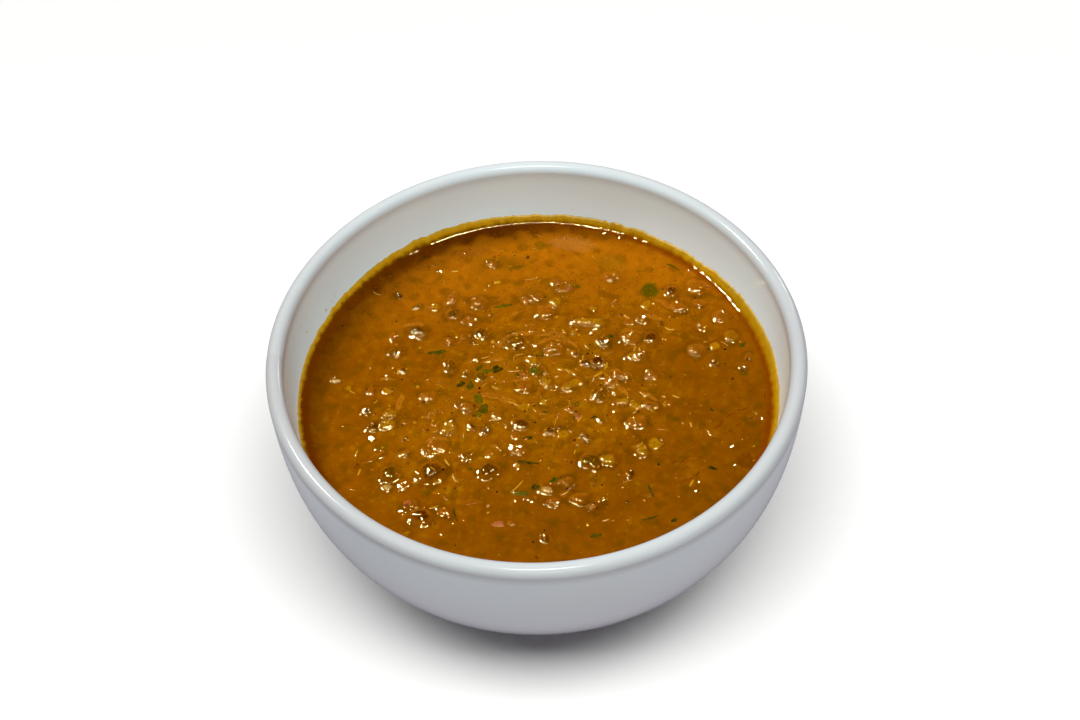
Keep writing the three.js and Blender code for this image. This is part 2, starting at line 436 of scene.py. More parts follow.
# The ones that stand out. Each has its place in the diner's view, its length, width and turn, its side's
# slope, its skin, and where they aren't as usual how bare its top is, how far the sauce climbs round it,
# how much of its skin shows through, and how flat its top is.
SEEN_LENTILS = (
    (421, 516, 5.2, 4.4, -25, 0.8, DARK_RED, 1, 1.0, 0.6, 2.4),
    (432, 472, 6.8, 6.4, 0, 0.9, BROWN, 0.9, 1.1), (389, 473, 4.6, 4.6, 40, 0.85, OLIVE, 0.9, 1.0),
    (489, 471, 5.4, 4.2, 12, 0.85, BROWN, 0.9, 1.1),
    (590, 461, 5.4, 5.0, 0, 0.85, OLIVE, 0.9, 1.1, 0.6, 2.8),
    (608, 460, 4.2, 4.0, 30, 0.8, YELLOW, 0.2, 0.7, 0.5),
    (641, 450, 4.4, 4.4, 50, 0.8, YELLOW, 0.2, 0.7, 0.35), (437, 446, 5.4, 5.2, 0, 0.6, ORANGE, 0, 0.9),
    (521, 424, 4.8, 4.2, -20, 0.75, BROWN, 0.8), (551, 430, 4.6, 3.0, 20, 0.8, BROWN, 0.7),
    (472, 427, 2.4, 2.2, 0, 0.7, BROWN, 0.7, 0.5), (485, 431, 3.0, 2.4, 0, 0.7, BROWN, 0.5, 0.5),
    (585, 436, 3.2, 2.8, 0, 0.6, BROWN, 0.5), (637, 422, 5.4, 4.6, -15, 0.7, ORANGE, 0, 0.8),
    (525, 387, 4.2, 3.6, 15, 0.85, ORANGE), (452, 366, 2.8, 5.0, 0, 0.85, OLIVE),
    (396, 351, 4.0, 3.2, 0, 0.7, BROWN), (417, 331, 5.0, 4.6, -25, 0.8, BROWN, 0.6),
    (481, 333, 4.8, 3.8, -10, 0.7, BROWN, 0.7), (470, 320, 4.4, 3.6, 0, 0.7, ORANGE),
    (453, 314, 4.2, 4.0, 0, 0.8, OLIVE, 0.7), (453, 298, 2.6, 5.0, -15, 0.7, ORANGE),
    (479, 302, 4.6, 4.4, 0, 0.85, ORANGE), (516, 342, 6.4, 5.6, 0, 0.85, OLIVE, 0, 0.8),
    (546, 313, 5.0, 4.4, 0, 0.85, ORANGE), (554, 349, 5.0, 4.6, 0, 0.75, ORANGE, 0, 0.8),
    (586, 363, 3.6, 3.2, 0, 0.6, BROWN, 0.5), (598, 361, 4.2, 3.8, 0, 0.7, DARK_RED, 0.6),
    (604, 341, 3.6, 3.4, 0, 0.7, BROWN), (630, 338, 4.8, 4.2, 0, 0.75, ORANGE),
    (651, 338, 3.2, 4.8, 0, 0.85, DARK_RED, 0.9), (640, 355, 3.4, 3.8, 0, 0.7, ORANGE),
    (671, 291, 3.8, 3.8, 0, 0.85, DARK_RED, 0.9), (678, 306, 5.2, 3.8, -20, 0.7, ORANGE),
    (697, 287, 6.4, 5.2, -20, 0.6, TAN, 0, 0.9), (699, 303, 3.4, 3.2, 0, 0.6, ORANGE),
    (721, 316, 4.8, 4.4, 0, 0.75, TAN), (731, 336, 4.2, 4.4, 0, 0.6, YELLOW, 0, 0.7, 0.3),
    (696, 349, 4.8, 4.4, 0, 0.75, TAN), (642, 318, 3.8, 3.4, 0, 0.75, ORANGE),
    (611, 275, 5.0, 3.6, 0, 0.6, ORANGE), (651, 375, 3.8, 3.4, -30, 0.6, ORANGE),
    (600, 393, 5.0, 4.8, 0, 0.6, OLIVE), (567, 482, 3.6, 3.4, 0, 0.8, TAN),
    (579, 498, 4.8, 3.6, 10, 0.85, ORANGE), (592, 507, 3.0, 2.8, -30, 0.75, ORANGE),
    # The pale one at 547, 489 is a painted highlight where the lamp's reflection shows.
    (553, 501, 3.6, 2.8, 0, 0.75, ORANGE), (547, 489, 3.0, 2.4, 0, 0.7, PALE_BITS_AND_HIGHLIGHT, 0.6),
    (518, 450, 4.6, 4.0, 0, 0.7, ORANGE), (387, 487, 2.8, 2.2, 0, 0.8, PALE_BITS_AND_HIGHLIGHT, 0.9, 0.4),
    (399, 295, 2.2, 1.8, 0, 0.6, DARK_RED, 0.8, 0.4), (714, 362, 2.2, 2.0, 0, 0.8, BROWN, 0.6, 0.4),
    (588, 322, 9.4, 3.0, -6, 0.85, YELLOW, 0.2, 0.6, 0.5),
    (571, 384, 6.6, 3.0, 28, 0.85, YELLOW, 0.2, 0.6, 0.5),
    (531, 361, 4.8, 3.4, -35, 0.6, YELLOW, 0, 0.7, 0.5),
    (546, 381, 3.0, 4.4, 0, 0.7, YELLOW, 0.2, 0.7, 0.5),
    (390, 413, 3.8, 3.4, 0, 0.7, YELLOW, 0, 0.7, 0.5), (449, 428, 4.0, 3.8, 0, 0.7, YELLOW, 0, 0.7, 0.5),
    (386, 424, 4.6, 3.0, 10, 0.65, YELLOW, 0, 0.7, 0.5), (374, 426, 4.0, 2.6, 30, 0.7, BROWN, 0.6),
    (366, 411, 2.6, 3.0, 0, 0.7, BROWN, 0.5), (563, 434, 3.6, 3.2, 0, 0.5, YELLOW, 0, 0.7, 0.5),
    (623, 401, 3.2, 2.8, 0, 0.6, YELLOW, 0, 0.7, 0.5), (435, 307, 3.0, 2.6, 0, 0.6, YELLOW, 0, 0.7, 0.5),
    (633, 356, 3.2, 2.6, 0, 0.7, YELLOW, 0, 0.7, 0.5), (528, 299, 3.8, 3.2, 0, 0.7, ORANGE),
    (536, 296, 4.0, 2.8, 0, 0.75, ORANGE), (565, 287, 5.4, 3.6, 20, 0.7, ORANGE),
    (556, 282, 4.0, 3.0, 0, 0.6, ORANGE), (492, 264, 3.4, 2.6, 0, 0.7, ORANGE),
    (610, 381, 4.2, 3.4, 0, 0.7, ORANGE), (621, 374, 4.4, 3.0, -20, 0.7, ORANGE),
    (651, 405, 4.2, 2.8, -15, 0.7, ORANGE), (468, 408, 4.0, 3.2, 0, 0.75, ORANGE),
    (428, 396, 4.4, 3.4, 0, 0.65, ORANGE), (496, 416, 4.0, 2.4, -30, 0.6, ORANGE),
    (411, 503, 3.4, 3.0, 0, 0.7, TAN), (445, 512, 4.0, 2.6, -25, 0.75, ORANGE, 0, 0.5),
)
lentils = [seen_lump(*seen) for seen in SEEN_LENTILS]

# Bubbles that have not burst yet, as small wet domes: each one's place and width.
BUBBLES = (
    (473, 342, 1.5), (465, 374, 1.2), (398, 295, 1.6), (491, 314, 1.3), (630, 474, 1.3), (405, 438, 1.1),
)
lentils += [seen_lump(*place, width, width, 0, 0.9, BROWN, skirt=0.3, flat=2.0)
            for *place, width in BUBBLES]

# Folded skins and strings of mash just under the surface lift it into low curved ridges. Each has its
# place, length, width and turn, its side's slope and its bend.
SEEN_RIDGES = (
    (497, 396, 13.0, 2.2, -18, 0.27, -0.03), (518, 334, 10.0, 1.8, 12, 0.27, -0.05),
    (560, 338, 13.0, 2.0, -12, 0.27, -0.07), (551, 333, 9.0, 1.6, 0, 0.25, -0.06),
    (503, 340, 6.0, 1.6, 55, 0.25, -0.05), (622, 371, 7.0, 1.6, -25, 0.27, -0.05),
    (652, 316, 7.5, 2.0, -15, 0.3, -0.05), (494, 359, 6.5, 1.6, 8, 0.27, -0.04),
    (522, 379, 6.0, 1.4, 15, 0.22, 0), (650, 395, 6.0, 1.6, -40, 0.27, -0.04),
    (400, 401, 6.0, 1.8, 80, 0.25, 0.03), (437, 438, 7.0, 1.6, 4, 0.25, -0.09),
    (415, 323, 7.0, 1.6, 0, 0.27, -0.08), (546, 305, 6.0, 1.5, 0, 0.25, -0.08),
    (632, 330, 6.4, 1.6, -5, 0.27, -0.08), (665, 303, 7.0, 1.8, -45, 0.27, -0.03),
    (619, 385, 9.0, 1.8, -62, 0.27, 0.03),
)
ridges = [seen_lump(*place, steep, FOLD, skirt=0.5, cover=0.75, bend=bend)
          for *place, steep, bend in SEEN_RIDGES]

# Where the two brightest lights stand: degrees round from the right, degrees up, and m away.
WINDOW_AT = (147, 54, 1.2)
LAMP_AT = (270, 85, 1.3)


def light_place(azimuth, elevation, away):
    """Where a light stands, in m."""
    a, e = math.radians(azimuth), math.radians(elevation)
    towards = Vector((math.cos(a) * math.cos(e), math.sin(a) * math.cos(e), math.sin(e)))
    return towards * away + Vector((0, 0, DAL_LEVEL * MM))


def gleaming_slope(x, y, light_at):
    """The rise along x and along y of a wet face that shows this light to the diner."""
    here = Vector((x, y, LUMP_LEVEL))
    to_diner = (eye - here).normalized()
    to_light = (light_place(*light_at) / MM - here).normalized()
    half_way = to_diner + to_light
    return -half_way.x / half_way.z, -half_way.y / half_way.z


def wet_face(x, y, long, wide, turn, light_at):
    """A smooth flat face on the sauce, where a lump or a fold of skin has slid over."""
    face = Lump(x, y, long, wide, turn)
    face.rise = gleaming_slope(x, y, light_at)
    return face


# A gleam shows larger than the flat face it comes from, because the face's soft edge gleams too.
FACE_SHARE = 0.56


def seen_face(across, down, long, wide, turn=0):
    """A wet face from the place, length, width and turn of its gleam in the diner's view."""
    x, y = seen_at(across, down, LUMP_LEVEL)
    return wet_face(x, y, long * FACE_SHARE, wide * FACE_SHARE, math.radians(turn), WINDOW_AT)


SEEN_GLEAMS = (
    (371, 438, 3.6, 3.2, 20), (511, 449, 3.0, 2.0, 10), (519, 448, 2.4, 1.2), (423, 452, 1.6, 2.8, 20),
    (429, 456, 2.6, 1.0, -15), (364, 410, 1.2, 2.4, -15), (368, 411, 1.0, 2.2, -15), (375, 449, 1.4, 1.4),
    (383, 456, 2.4, 1.0, -10), (400, 510, 3.4, 1.0, -30), (411, 510, 2.0, 0.8, 35),
    (409, 521, 1.2, 1.8, 20), (436, 509, 1.2, 1.3), (453, 523, 1.1, 1.6, 20), (441, 533, 1.1, 1.1),
    (477, 472, 1.0, 1.8, 10), (515, 427, 1.7, 1.2, -30), (518, 390, 2.4, 1.0, -40),
    (556, 386, 1.2, 2.2, 15), (499, 342, 1.6, 1.2, 20), (535, 346, 2.6, 1.1, -20),
    (551, 347, 2.2, 1.4, -15), (572, 322, 1.2, 1.4), (591, 332, 1.1, 1.6), (595, 329, 1.0, 1.0),
    (535, 316, 1.8, 1.2), (606, 342, 1.8, 1.8, 30), (604, 348, 1.4, 1.2), (618, 341, 1.2, 1.6),
    (627, 342, 1.6, 1.2, 20), (630, 336, 1.2, 1.6), (648, 342, 1.2, 1.2), (652, 342, 1.4, 1.0),
    (643, 318, 1.8, 2.0, 20), (624, 357, 2.0, 1.0, -30), (636, 357, 1.6, 1.4, 20), (598, 357, 1.2, 1.6),
    (600, 366, 1.2, 1.2), (611, 381, 2.2, 2.2), (602, 378, 1.2, 1.2), (613, 391, 1.8, 1.6, -20),
    (614, 401, 1.0, 2.4, -20), (613, 411, 1.4, 1.4), (627, 427, 2.0, 2.2, 30), (625, 424, 1.4, 1.6),
    (638, 424, 1.2, 2.0), (634, 418, 1.0, 1.0), (580, 463, 1.0, 1.4), (648, 375, 1.4, 1.6),
    (689, 271, 2.4, 1.0, -20), (668, 294, 1.2, 1.0), (717, 321, 1.4, 1.2), (399, 353, 2.6, 0.8, 10),
    (385, 375, 2.2, 0.9, -40), (429, 353, 3.2, 0.8, 4), (524, 297, 1.6, 0.9), (535, 299, 3.0, 1.2, -10),
    (474, 299, 1.2, 1.2), (419, 339, 2.2, 1.2, -30), (413, 336, 1.4, 1.4), (443, 365, 2.2, 1.4),
    (493, 417, 2.0, 2.0), (505, 426, 1.2, 1.2), (463, 413, 1.2, 1.4), (446, 425, 1.2, 1.6),
    (444, 431, 1.2, 1.4), (382, 483, 1.6, 1.4), (399, 484, 2.2, 1.8, -20), (402, 488, 1.4, 1.0, -20),
    (514, 491, 1.2, 2.0, 15), (516, 499, 1.0, 1.6, 15), (556, 504, 2.4, 1.4, 20),
    (525, 499, 2.4, 1.0, 20), (531, 499, 1.4, 1.4), (537, 491, 1.2, 1.2), (549, 484, 1.6, 1.2),
    (619, 238, 1.6, 1.6, 30), (604, 233, 1.2, 1.0), (439, 271, 1.6, 1.0), (492, 265, 1.0, 2.0),
    (557, 415, 1.0, 1.0), (762, 418, 1.2, 1.6), (732, 445, 1.4, 1.4), (735, 464, 1.2, 1.6),
    (699, 481, 1.2, 1.6), (697, 489, 1.0, 1.4), (708, 433, 0.9, 1.2),
)
facets = [seen_face(*seen) for seen in SEEN_GLEAMS]


# Where the dal is thick: how much, round which place in mm, and how far that reaches along x and along y.
CROWDS = ((1, 2, 2, 30, 30), (0.55, -34, -20, 16, 20), (0.35, 42, 32, 16, 12))
THINNEST = 0.07


def thick_at(x, y):
    """How crowded the dal is, from 0 to 1: most in the middle, and thin at the right front."""
    crowd = sum(much * np.exp(-(((x - at_x) / far_x) ** 2) - ((y - at_y) / far_y) ** 2)
                for much, at_x, at_y, far_x, far_y in CROWDS)
    return np.clip(THINNEST + crowd, 0, 1)


# A scattered piece is placed clear of this many of the ones before it.
LATEST = 200


def scatter(count, reach, gap, others=()):
    """Random places on the dal, closer together where it is thick, and clear of the others."""
    places = []
    while len(places) < count:
        x, y = RANDOM.uniform(-reach, reach, 2)
        if math.hypot(x, y) > reach or RANDOM.random() > thick_at(x, y):
            continue
        clear = all(math.hypot(x - o.x, y - o.y) > gap + o.narrow * 0.8 for o in others)
        if clear and all(math.dist((x, y), place) > gap for place in places[-LATEST:]):
            places.append((x, y))
    return places


# The chances that a scattered lump is orange, tan, brown, olive or yellow.
LENTIL_SKINS = (0.45, 0.15, 0.16, 0.12, 0.12)
RIDGE_SKINS = (0.7, 0.15, 0, 0, 0.15)
HALF_TURN = 3.14


def random_skin(shares):
    return (ORANGE, TAN, BROWN, OLIVE, YELLOW)[RANDOM.choice(5, p=shares)]


SCATTERED_LENTILS = 50
for x, y in scatter(SCATTERED_LENTILS, DAL_RADIUS - 6, 2.6, lentils):
    width = RANDOM.uniform(2.0, 3.8)
    lentils.append(Lump(x, y, width, width * RANDOM.uniform(0.6, 1), RANDOM.uniform(0, HALF_TURN),
                        steep=RANDOM.uniform(0.2, 0.6), skin=random_skin(LENTIL_SKINS),
                        bare=RANDOM.choice((0, 0, 0, 0.5)), skirt=RANDOM.uniform(0.4, 0.7)))

SCATTERED_RIDGES = 30
for x, y in scatter(SCATTERED_RIDGES, DAL_RADIUS - 8, 3.0, lentils):
    ridges.append(Lump(x, y, RANDOM.uniform(3, 7), RANDOM.uniform(1.1, 1.7), RANDOM.uniform(-0.7, 0.7),
                       steep=RANDOM.uniform(0.15, 0.35), skin=random_skin(RIDGE_SKINS),
                       skirt=0.45, cover=RANDOM.uniform(0.2, 0.5), bend=RANDOM.uniform(-0.08, 0.03)))

# Lentils at least this bare are smooth domes. The sauce over the others has many small wet faces.
SMOOTH_WHEN_BARE = 0.8
SMALL_FACES = 210
coated = [lump for lump in lentils if lump.bare < SMOOTH_WHEN_BARE]
for _ in range(SMALL_FACES):
    lump = coated[RANDOM.integers(len(coated))]
    x, y = lump.place(*RANDOM.uniform(-1.1, 1.1, 2))
    long, wide = RANDOM.uniform(0.3, 0.85), RANDOM.uniform(0.22, 0.42)
    face_turn = RANDOM.uniform(0, HALF_TURN)
    facets.append(wet_face(x, y, long, wide, face_turn, WINDOW_AT if RANDOM.random() < 0.7 else LAMP_AT))

lumps = lentils + ridges

RIPPLE_WAVES = 24


def ripples(x, y, size_mm, seed):
    """A smooth random field with bumps of about one size, mostly between -2 and 2."""
    dice = np.random.default_rng(seed)
    field = np.zeros_like(x, dtype=float)
    for _ in range(RIPPLE_WAVES):
        direction = dice.uniform(0, 2 * math.pi)
        pace = 2 * math.pi / (size_mm * 2 * dice.uniform(0.75, 1.35))
        phase = dice.uniform(0, 2 * math.pi)
        field += np.sin(pace * (x * math.cos(direction) + y * math.sin(direction)) + phase)
    return field * math.sqrt(2 / RIPPLE_WAVES)


def rippled(x, y, kinds):
    """Ripples of several kinds together: how strong, what size in mm, and their seed."""
    return sum(strong * ripples(x, y, size_mm, seed) for strong, size_mm, seed in kinds)


def fade(value, start, end):
    """0 at start and 1 at end, with soft ends."""
    share = np.clip((value - start) / (end - start), 0, 1)
    return share * share * (3 - 2 * share)


# How high the sauce clings to the china in each direction, in mm, and how far in from it.
CLING = ((-180, 1.5), (-140, 1.4), (-90, 1.5), (-40, 1.7), (-12, 2.4), (0, 3.4), (12, 4.0), (25, 3.8),
         (42, 2.8), (60, 3.1), (75, 3.0), (90, 3.0), (108, 3.4), (125, 3.7), (140, 2.7), (160, 2.1),
         (180, 1.5))
CLING_RAGGED = ((0.14, 4.0, 31), (0.12, 1.2, 32))
CLING_REACH = 1.6
INTO_CHINA = 0.05


def cling_at(angle):
    """The height of the sauce's edge above its level, with a ragged outline."""
    x, y = np.cos(angle) * DAL_RADIUS, np.sin(angle) * DAL_RADIUS
    return by_direction(CLING, angle) + rippled(x, y, CLING_RAGGED)


def sauce_edge(angle):
    """The radius and height at which the sauce ends on the china."""
    height = DAL_LEVEL + cling_at(angle)
    return china_inside(height) + INTO_CHINA, height


# How far places wander, over ripples of what size, both in mm, and the seed of those ripples.
WANDERS = ((0.2, 2.0, 3), (0.02, 0.9, 14))


def wandered(x, y):
    """Places shifted a little at random, so that nothing in the sauce is perfectly round."""
    there_x, there_y = x, y
    for far, size_mm, seed in WANDERS:
        there_x = there_x + far * ripples(x, y, size_mm, seed)
        there_y = there_y + far * ripples(x, y, size_mm, seed + 50)
    return there_x, there_y


def unwandered(x, y):
    """The places that wandered() carries to x and y."""
    there_x, there_y = x, y
    for _ in range(6):
        moved_x, moved_y = wandered(there_x, there_y)
        there_x, there_y = there_x + x - moved_x, there_y + y - moved_y
    return there_x, there_y


def lift_of_lumps(x, y):
    """How far the lumps lift the sauce, where the higher one counts most."""
    lifted = np.zeros_like(x, dtype=float)
    x, y = wandered(x, y)
    for lump in lumps:
        near, off = lump.around(x, y, 5 * lump.skirt)
        lifted[near] += lump.height(off) ** 4
    return lifted ** 0.25


# What makes the sauce uneven between the lumps: how high and how wide its bumps are in mm, and their seed.
SWELLS = ((0.16, 24, 1), (0.07, 9, 2))
EDGE_WAVES = ((0.06, 5, 8), (0.013, 1.8, 13))
EDGE_WAVES_REACH = 3
FINE_MASH = 0.10
BROAD_MASH = 0.16


def risen(x, y):
    """The height of the sauce at places in mm, but for its flat wet faces."""
    edge_radius, edge_height = sauce_edge(np.arctan2(y, x))
    from_edge = np.maximum(edge_radius - np.hypot(x, y), 0)
    calm = fade(from_edge, 1.5, 7)
    fine = FINE_MASH * np.clip(ripples(x, y, 1.5, 5) - 0.3, 0, 3) * fade(ripples(x, y, 5, 12), -0.4, 1.2)
    broad = BROAD_MASH * np.clip(ripples(x, y, 4.0, 7) - 0.2, 0, 3)
    uneven = rippled(x, y, SWELLS) + lift_of_lumps(x, y) + (fine + broad) * thick_at(x, y)
    cling = (edge_height - DAL_LEVEL) * np.exp(-from_edge / CLING_REACH)
    wavy = rippled(x, y, EDGE_WAVES) * np.exp(-from_edge / EDGE_WAVES_REACH)
    return DAL_LEVEL + calm * uneven + cling + wavy


# The wet faces stand a little out of the sauce, with ragged edges and very fine wrinkles.
FACE_PROUD = 0.03
RAGGED = 0.2
WRINKLE = 0.006
WRINKLE_SIZE = 0.42
for face in facets:
    face.middle = unwandered(np.array([face.x]), np.array([face.y]))
    face.level = risen(*face.middle)[0] + FACE_PROUD


def sauce_height(x, y):
    """The height of the sauce at places in mm."""
    x, y = np.asarray(x, float), np.asarray(y, float)
    height = risen(x, y)
    wx, wy = wandered(x, y)
    ragged = ripples(x, y, 0.45, 9)
    wrinkled = WRINKLE * ripples(x, y, WRINKLE_SIZE, 10)
    for face in facets:
        near, off = face.around(wx, wy, 0.6)
        off = off + RAGGED * ragged[near] / face.narrow
        from_x, from_y = x[near] - face.middle[0], y[near] - face.middle[1]
        flat = face.level + face.rise[0] * from_x + face.rise[1] * from_y
        height[near] += fade(off, 1.35, 0.9) * (flat + wrinkled[near] - height[near])
    return height


SLOPE_STEP = 0.04


def sauce_slope(x, y):
    """The rise of the sauce along x and along y."""
    here = sauce_height(x, y)
    along_x = (sauce_height(x + SLOPE_STEP, y) - here) / SLOPE_STEP
    along_y = (sauce_height(x, y + SLOPE_STEP) - here) / SLOPE_STEP
    return along_x, along_y


def facing(x, y):
    """The directions that the sauce's surface faces."""
    along_x, along_y = sauce_slope(x, y)
    direction = np.column_stack([-along_x, -along_y, np.ones_like(along_x)])
    return direction / np.linalg.norm(direction, axis=1)[:, None]


SAUCE = linear(160, 94, 1)
THIN_SAUCE = linear(153, 86, 0)
THICK_SAUCE = linear(171, 102, 1)
# Painted light: the sauce is lighter and more orange towards the back.
BACK_LIGHT_PAINT = linear(190, 111, 6)
DARK_PATCH = linear(120, 76, 0)
GOLDEN_PATCH = linear(190, 126, 6)
HERB_BELOW = linear(90, 84, 2)
LENTIL_BELOW = linear(128, 72, 2)
OIL_BELOW = linear(110, 54, 0)
MASH_BELOW = linear(150, 98, 4)
# Painted light: a lit rim round each lump, mostly on its far side. Painted shade at each lump's foot and
# middle.
LIT_RIM_PAINT = linear(200, 116, 10)
FOOT_SHADE = 0.26
CENTRE_SHADE = 0.2

# Painted shade in the sauce beside the china and a painted shadow with a dark reflection along the wall,
# the thin film on the china, and the film's dried outer edge.
EDGE_SHADE_PAINT = linear(140, 64, 0)
EDGE_SHADOW_PAINT = linear(108, 46, 1)
FILM = linear(220, 164, 10)
FILM_TOP = linear(226, 180, 44)
FILM_LAYERS = ((FILM, 2.2, 0.8), (FILM_TOP, 0.7, 0.1))
TINT_RAGGED = ((0.1, 1.6, 33), (0.08, 0.5, 34))

# In each direction: how much painted light or shade the film has, how wide it is, how strong the painted
# shadow beside it is, and how much painted shade the wall casts on the sauce.
FILM_LIGHT_AND_SHADE = ((-180, 1.3), (-150, 1.0), (-90, 0.8), (-30, 0.85), (30, 0.85), (60, 1.05), (90, 1.35),
               (150, 1.5), (180, 1.3))
FILM_WIDE = ((-180, 0.6), (-60, 0.7), (-20, 0.9), (5, 1.3), (25, 1.3), (45, 1.0), (80, 1.0), (130, 0.9),
             (180, 0.6))
EDGE_SHADOW_SHARE = ((-180, 0.1), (0, 0), (50, 0.1), (80, 0.5), (100, 0.9), (135, 0.8), (165, 0.4), (180, 0.1))
WALL_SHADE = ((-180, 0), (-75, 0.05), (-45, 0.2), (-10, 0.15), (10, 0), (180, 0))

# What lies under the surface and only colours it, and one painted sheen at the back: its place in the
# diner's view, its length, width and turn, its colour, and how much of that shows.
SEEN_STAINS_AND_SHEEN = (
    (650, 289, 6.0, 6.4, 20, HERB_BELOW, 0.9), (540, 245, 3.4, 4.4, 0, HERB_BELOW, 0.5),
    (517, 266, 5.6, 1.6, 10, HERB_BELOW, 0.6), (425, 256, 3.2, 1.8, 0, HERB_BELOW, 0.7),
    (361, 292, 2.2, 1.6, 20, HERB_BELOW, 0.5), (417, 384, 2.6, 1.6, 0, HERB_BELOW, 0.5),
    (677, 418, 2.4, 1.6, 0, HERB_BELOW, 0.6), (427, 491, 2.6, 1.6, 0, HERB_BELOW, 0.35),
    (745, 372, 3.0, 1.8, 0, HERB_BELOW, 0.55), (604, 346, 5.4, 4.0, 0, linear(112, 72, 4), 0.5),
    (640, 270, 2.2, 1.2, -20, HERB_BELOW, 0.5), (402, 455, 3.4, 2.4, 0, YELLOW, 0.35),
    (348, 387, 1.9, 1.5, 0, YELLOW, 0.6), (688, 403, 6.0, 5.0, 0, LENTIL_BELOW, 0.3),
    (746, 460, 5.0, 6.0, 0, OIL_BELOW, 0.5), (700, 490, 9.0, 5.0, 20, linear(128, 76, 0), 0.35),
    (598, 363, 9.0, 5.0, 0, linear(120, 66, 2), 0.5), (382, 446, 4.0, 3.0, 20, HERB_BELOW, 0.4),
    # A painted sheen: the pale reflection of the china's back wall in the sauce, not something under it.
    (572, 243, 15.0, 7.0, -10, linear(204, 130, 48), 0.5),
    (470, 252, 13.0, 4.0, 8, linear(180, 104, 22), 0.45),
    (500, 262, 16.0, 6.0, 5, linear(130, 86, 2), 0.45),
    (610, 262, 10.0, 8.0, 0, linear(166, 110, 8), 0.5), (545, 292, 16.0, 9.0, 0, MASH_BELOW, 0.4),
)
stains_and_sheen = [(seen_lump(*place), tone, strength) for *place, tone, strength in SEEN_STAINS_AND_SHEEN]


def blended(colour, tone, share):
    """Colours with a share of another tone mixed into each."""
    share = np.asarray(share)[:, None]
    return colour * (1 - share) + tone * share


def lump_tint(colour, lump, off, uneven, y):
    """The sauce's colour on and round one lump: painted shade at its foot, its own skin, and a painted lit
    rim mostly on its far side.
    """
    foot = fade(off, 2.1, 1.5) * fade(off, 1.0, 1.3)
    colour = colour * (1 - FOOT_SHADE * lump.steep * foot)[:, None]
    skin = lump.skin * (1 - CENTRE_SHADE * fade(off, 0.9, 0.3))[:, None]
    colour = blended(colour, skin, uneven * min(1, 1.25 * lump.cover) * fade(off, 1.2, 0.75))
    if lump.bare > 0:
        bare_to = 0.45 + 0.4 * lump.bare
        colour = blended(colour, skin, uneven * 0.9 * fade(off, bare_to + 0.22, bare_to - 0.25))
    # Painted light: the rim is lit most on the far side.
    lit_far_side = 0.25 + 0.75 * fade((y - lump.y) / lump.narrow, -0.2, 0.9)
    rim = fade(off, 0.7, 0.92) * fade(off, 1.35, 1.05) * lit_far_side
    return blended(colour, LIT_RIM_PAINT, 0.45 * lump.steep * rim)


def sauce_tint(x, y):
    """The sauce's colour: mottled, coloured by whatever lies under its skin, and with painted light, shade,
    shadow and sheen.
    """
    thick = thick_at(x, y) + 0.12 * ripples(x, y, 7, 21)
    colour = THIN_SAUCE + (THICK_SAUCE - THIN_SAUCE) * fade(thick, 0.1, 0.9)[:, None]
    # Painted light, lighter towards the back.
    colour = blended(colour, BACK_LIGHT_PAINT, fade(y, 10, 60))
    colour = colour * (0.9 + 0.2 * fade(rippled(x, y, ((0.6, 6, 24), (0.5, 2.2, 22))), -1.6, 1.6))[:, None]
    colour = blended(colour, DARK_PATCH, 0.5 * fade(ripples(x, y, 3.4, 25), 0.3, 1.7))
    golden = fade(ripples(x, y, 1.7, 26), 0.7, 1.9) * (0.3 + 0.7 * fade(thick, 0.0, 0.7))
    colour = blended(colour, GOLDEN_PATCH, 0.55 * golden)
    wx, wy = wandered(x, y)
    uneven = 0.45 + 0.55 * fade(ripples(x, y, 0.6, 27), -1.0, 0.6)
    torn = 0.14 * ripples(x, y, 1.3, 28)
    # Stains under the surface, and one painted sheen.
    for spot, tone, strength in stains_and_sheen:
        colour = blended(colour, tone, strength * fade(spot.off(wx, wy) + torn / spot.narrow, 1.25, 0.7))
    for lump in lumps:
        near, off = lump.around(wx, wy, 2.5)
        colour[near] = lump_tint(colour[near], lump, off, uneven[near], wy[near])
    angle = np.arctan2(y, x)
    from_edge = sauce_edge(angle)[0] - np.hypot(x, y) + rippled(x, y, TINT_RAGGED)
    # Painted shade from the wall, then painted shade, shadow and a dark reflection beside the china.
    colour = colour * (1 - by_direction(WALL_SHADE, angle) * fade(from_edge, 14, 4))[:, None]
    darker = by_direction(EDGE_SHADOW_SHARE, angle)
    colour = blended(colour, EDGE_SHADOW_PAINT, darker * fade(from_edge + 0.7 * ripples(x, y, 4, 35), 8.5, 4))
    colour = blended(colour, EDGE_SHADE_PAINT, (1 - darker) * fade(from_edge, 4.4, 2.6))
    from_edge = from_edge / by_direction(FILM_WIDE, angle)
    # Painted light and shade on the film, by direction.
    bright = by_direction(FILM_LIGHT_AND_SHADE, angle)[:, None]
    for tone, start, end in FILM_LAYERS:
        colour = blended(colour, tone * bright, fade(from_edge, start, end))
    return np.minimum(colour, 1)


CRUMBLY_LUMP = 0.2


def crumbly_at(x, y):
    """How rough the sauce's skin is, from 0 to 1: most on the lumps, least where it is thin."""
    wx, wy = wandered(x, y)
    rough = 0.08 + 0.3 * thick_at(x, y) * fade(ripples(x, y, 3, 41), 0.2, 1.4)
    for lump in lumps:
        near, off = lump.around(wx, wy, 1)
        strength = 0 if lump.bare > SMOOTH_WHEN_BARE else CRUMBLY_LUMP
        rough[near] = np.maximum(rough[near], strength * fade(off, 1.3, 0.9))
    for face in facets:
        near, off = face.around(wx, wy, 1)
        rough[near] *= 1 - 0.75 * fade(off, 1.2, 0.8)
    return rough * fade(DAL_RADIUS - np.hypot(x, y), 1.5, 6)


